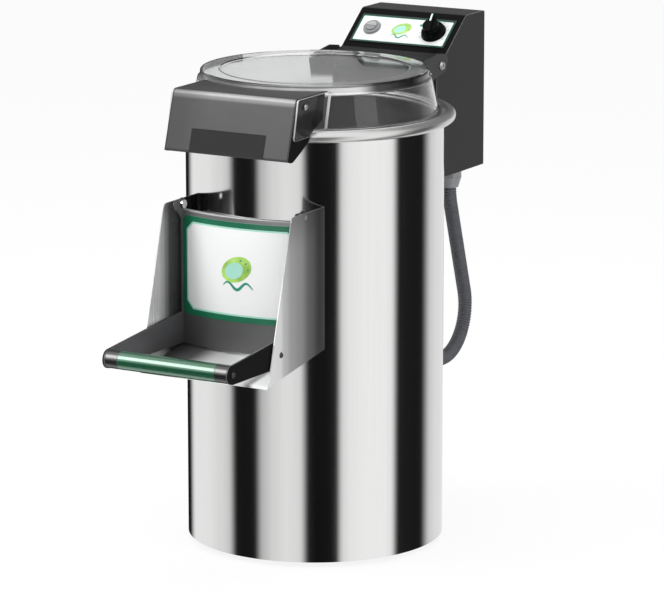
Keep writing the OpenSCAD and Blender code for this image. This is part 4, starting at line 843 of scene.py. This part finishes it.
plate("stop_sign", [oval(BUTTON_X, 39.0, 2.6, 2.6), oval(BUTTON_X, 39.0, 1.6, 1.6)], on_button, -0.05, 0.1, "ink",
      "stop_push", "grey_plastic", 0)


def on_knob(u, v, h):
    """A point over the knob, which stands turned by its tilt: v along its pointer."""
    c, s = math.cos(KNOB_TILT), math.sin(KNOB_TILT)
    return on_slope(KNOB_X + u * c - v * s, CONTROL_S + u * s + v * c, h)


plate("knob_tip", [[(-1.5, 4), (1.5, 4), (1.3, 19.4), (-1.3, 19.4)]], on_knob, 24.5, 24.78, "pale", "knob",
      "black_plastic", 0)


# ---------- conduit ----------


def conduit():
    """Ribbed tube on the solid's own line: two bends and two straights in the plane x = 75."""
    lean, r1, r2, top, low, x = math.radians(18), 100.0, 75.0, 504.0, 225.0, 75.0
    drop = (top - low - r2 - (r1 + r2) * math.sin(lean)) / math.cos(lean)
    y1, z1 = 304 + r1 * (1 - math.cos(lean)), top - r1 * math.sin(lean)
    y2 = y1 + drop * math.sin(lean) - r2 * math.cos(lean)
    end_y = math.sqrt(DRUM_R**2 - x * x) + 22
    step, path = 0.6, []

    def arc(cy, cz, r, a0, a1):
        n = max(2, round(abs(a1 - a0) * r / step))
        for i in range(n):
            a = a0 + (a1 - a0) * i / n
            path.append((cy + r * math.cos(a), cz + r * math.sin(a)))

    def line(p, q):
        n = max(2, round(math.dist(p, q) / step))
        for i in range(n):
            path.append((p[0] + (q[0] - p[0]) * i / n, p[1] + (q[1] - p[1]) * i / n))

    arc(304 + r1, top, r1, math.pi, math.pi + lean)
    line((y1, z1), (y1 + drop * math.sin(lean), z1 - drop * math.cos(lean)))
    arc(y2, low + r2, r2, lean, -math.pi / 2)
    line((y2, low), (end_y - 2, low))
    path.append((end_y - 2, low))
    bm = bmesh.new()
    rings, travelled, sides = [], 0.0, 28
    for i, p in enumerate(path):
        a, b = path[max(i - 1, 0)], path[min(i + 1, len(path) - 1)]
        t = Vector((b[0] - a[0], b[1] - a[1])).normalized()
        if i:
            travelled += math.dist(path[i - 1], p)
        wave = 0.5 + 0.5 * math.cos(2 * math.pi * travelled / 4.4)
        r = 10.1 + 1.35 * wave**0.6
        rings.append([
            bm.verts.new(at(x + r * math.cos(w), p[0] - t.y * r * math.sin(w), p[1] + t.x * r * math.sin(w)))
            for w in [2 * math.pi * k / sides for k in range(sides)]
        ])
    for one, two in zip(rings, rings[1:]):
        for k in range(sides):
            m = (k + 1) % sides
            bm.faces.new((one[k], one[m], two[m], two[k]))
    bm.faces.new(rings[0])
    bm.faces.new(rings[-1])
    piece("ribbed_conduit", from_bmesh("ribbed_conduit", bm), "ribbed", "machine", "grey_plastic", "conduit")


conduit()

# ---------- studio ----------


def studio_world():
    """A white room whose upright dark flags are seen by reflections alone, as round a polished product."""
    world = bpy.data.worlds.new("studio")
    bpy.context.scene.world = world
    world.use_nodes = True
    tree = world.node_tree
    n = tree.nodes
    n.clear()

    def math_node(op, a, b=None, clamp=False):
        m = n.new("ShaderNodeMath")
        m.operation = op
        m.use_clamp = clamp
        for i, v in enumerate((a, b)):
            if v is None:
                continue
            if isinstance(v, (int, float)):
                m.inputs[i].default_value = v
            else:
                link(tree, v, m.inputs[i])
        return m.outputs[0]

    coord = n.new("ShaderNodeTexCoord")
    sep = n.new("ShaderNodeSeparateXYZ")
    link(tree, coord.outputs["Generated"], sep.inputs[0])
    azimuth = math_node("ARCTAN2", sep.outputs["X"], math_node("MULTIPLY", sep.outputs["Y"], -1.0))
    turn = math_node("ADD", math_node("DIVIDE", azimuth, 2 * math.pi), 0.5)
    ramp = n.new("ShaderNodeValToRGB")
    link(tree, turn, ramp.inputs["Fac"])
    # Brightness of the room round the machine: four dark flags between soft white walls.
    walls = [
        (-180, 0.80), (-152, 0.85), (-145, 0.008), (-127, 0.008), (-108, 0.87), (-84, 0.87), (-62, 0.76),
        (-55.5, 0.67), (-45.5, 0.008), (-26.5, 0.008), (-17.5, 0.56), (-8, 0.74), (4, 0.83), (15.5, 0.78),
        (24, 0.005), (47.8, 0.008), (55, 0.79), (62, 0.90), (76, 0.95), (95, 0.95), (101, 0.90), (110, 0.012),
        (139.5, 0.010), (158, 0.70), (168, 0.78), (180, 0.80),
    ]
    set_stops(ramp.color_ramp, [((angle + 180) / 360, value) for angle, value in walls])

    def blend(factor, a, b):
        mix = n.new("ShaderNodeMix")
        mix.data_type = "RGBA"
        link(tree, factor, mix.inputs["Factor"])
        for value, socket in ((a, mix.inputs["A"]), (b, mix.inputs["B"])):
            if isinstance(value, float):
                socket.default_value = (value, value, value, 1)
            else:
                link(tree, value, socket)
        return mix.outputs["Result"]

    def band(low, high, source, soft):
        """One between low and high of a value, with soft edges outside them."""
        up = math_node("DIVIDE", math_node("SUBTRACT", source, low - soft), soft, True)
        down = math_node("DIVIDE", math_node("SUBTRACT", high + soft, source), soft, True)
        return math_node("MULTIPLY", up, down)

    # Over the flags the room is bright in front and overhead and dark behind, with one soft light on the left.
    height = sep.outputs["Z"]
    upper = n.new("ShaderNodeValToRGB")
    link(tree, turn, upper.inputs["Fac"])
    around = [(-180, 0.2), (-128, 0.2), (-108, 0.86), (100, 0.86), (122, 0.2), (180, 0.2)]
    set_stops(upper.color_ramp, [((angle + 180) / 360, value) for angle, value in around])
    over = blend(math_node("DIVIDE", math_node("SUBTRACT", height, 0.8), 0.15, True), upper.outputs["Color"], 0.86)
    degrees = math_node("MULTIPLY", azimuth, 180 / math.pi)
    soft_light = math_node("MULTIPLY", band(-56.0, -24.0, degrees, 8.0), band(0.40, 0.74, height, 0.06))
    over = blend(soft_light, over, 5.0)
    room = blend(math_node("DIVIDE", math_node("SUBTRACT", height, 0.02), 0.08, True), ramp.outputs["Color"], over)
    path = n.new("ShaderNodeLightPath")

    def background(strength):
        shader = n.new("ShaderNodeBackground")
        shader.inputs["Color"].default_value = (1, 1, 1, 1)
        shader.inputs["Strength"].default_value = strength
        return shader

    mirror, fill, white = background(1.0), background(0.72), background(1.0)
    link(tree, room, mirror.inputs["Color"])
    seen = math_node("MAXIMUM", path.outputs["Is Camera Ray"], path.outputs["Is Transmission Ray"])
    first = n.new("ShaderNodeMixShader")
    link(tree, path.outputs["Is Glossy Ray"], first.inputs[0])
    link(tree, fill.outputs[0], first.inputs[1])
    link(tree, mirror.outputs[0], first.inputs[2])
    second = n.new("ShaderNodeMixShader")
    link(tree, seen, second.inputs[0])
    link(tree, first.outputs[0], second.inputs[1])
    link(tree, white.outputs[0], second.inputs[2])
    out = n.new("ShaderNodeOutputWorld")
    link(tree, second.outputs[0], out.inputs["Surface"])


def floor():
    """A pale round floor that keeps the machine's shadow."""
    bm = bmesh.new()
    bmesh.ops.create_circle(bm, cap_ends=True, radius=14.0, segments=96)
    mesh = from_bmesh("floor", bm, False)
    obj = bpy.data.objects.new("floor", mesh)
    bpy.context.scene.collection.objects.link(obj)
    m = bpy.data.materials.new("pale_floor")
    m.use_nodes = True
    tree = m.node_tree
    n = tree.nodes
    n.clear()
    path = n.new("ShaderNodeLightPath")
    diffuse = n.new("ShaderNodeBsdfDiffuse")
    diffuse.inputs["Color"].default_value = (0.94, 0.94, 0.94, 1)
    glow = n.new("ShaderNodeEmission")
    glow.inputs["Color"].default_value = (1, 1, 1, 1)
    glow.inputs["Strength"].default_value = 1.0
    seen = n.new("ShaderNodeMixShader")
    part = n.new("ShaderNodeMath")
    part.operation = "MULTIPLY"
    part.inputs[1].default_value = 0.86
    look = n.new("ShaderNodeMath")
    look.operation = "MAXIMUM"
    link(tree, path.outputs["Is Camera Ray"], look.inputs[0])
    link(tree, path.outputs["Is Transmission Ray"], look.inputs[1])
    link(tree, look.outputs[0], part.inputs[0])
    link(tree, part.outputs[0], seen.inputs[0])
    link(tree, diffuse.outputs[0], seen.inputs[1])
    link(tree, glow.outputs[0], seen.inputs[2])
    # Reflections pass through to the room, so that polished metal shows it down to the floor.
    clear = n.new("ShaderNodeBsdfTransparent")
    last = n.new("ShaderNodeMixShader")
    link(tree, path.outputs["Is Glossy Ray"], last.inputs[0])
    link(tree, seen.outputs[0], last.inputs[1])
    link(tree, clear.outputs[0], last.inputs[2])
    out = n.new("ShaderNodeOutputMaterial")
    link(tree, last.outputs[0], out.inputs["Surface"])
    mesh.materials.append(m)


def lamp(name, place, target, size, power):
    """A soft oblong light at place, turned to target."""
    data = bpy.data.lights.new(name, "AREA")
    data.shape = "RECTANGLE"
    data.size, data.size_y = size
    data.energy = power
    obj = bpy.data.objects.new(name, data)
    obj.location = place
    obj.rotation_euler = (Vector(target) - Vector(place)).to_track_quat("-Z", "Y").to_euler()
    obj.visible_glossy = False
    bpy.context.scene.collection.objects.link(obj)


studio_world()
floor()
lamp("key", (-2.4, -2.6, 3.0), (0, 0, 0.45), (1.8, 1.8), 70)
lamp("side", (3.2, -0.6, 2.0), (0, 0, 0.5), (1.4, 2.0), 26)
lamp("top", (0.2, 0.6, 3.4), (0, 0, 0.4), (2.2, 2.2), 34)

camera = bpy.data.cameras.new("camera")
camera.sensor_fit = "HORIZONTAL"
camera.sensor_width = 36.0
camera.lens = 214.96
view = bpy.data.objects.new("camera", camera)
view.location = (3.0006, -5.2112, 1.7155)
aim = Vector((0.0180, 0.0497, 0.3732)) - view.location
view.rotation_euler = aim.to_track_quat("-Z", "Y").to_euler()
camera.clip_end = 60.0
bpy.context.scene.collection.objects.link(view)
bpy.context.scene.camera = view
bpy.context.scene.view_settings.view_transform = "Standard"
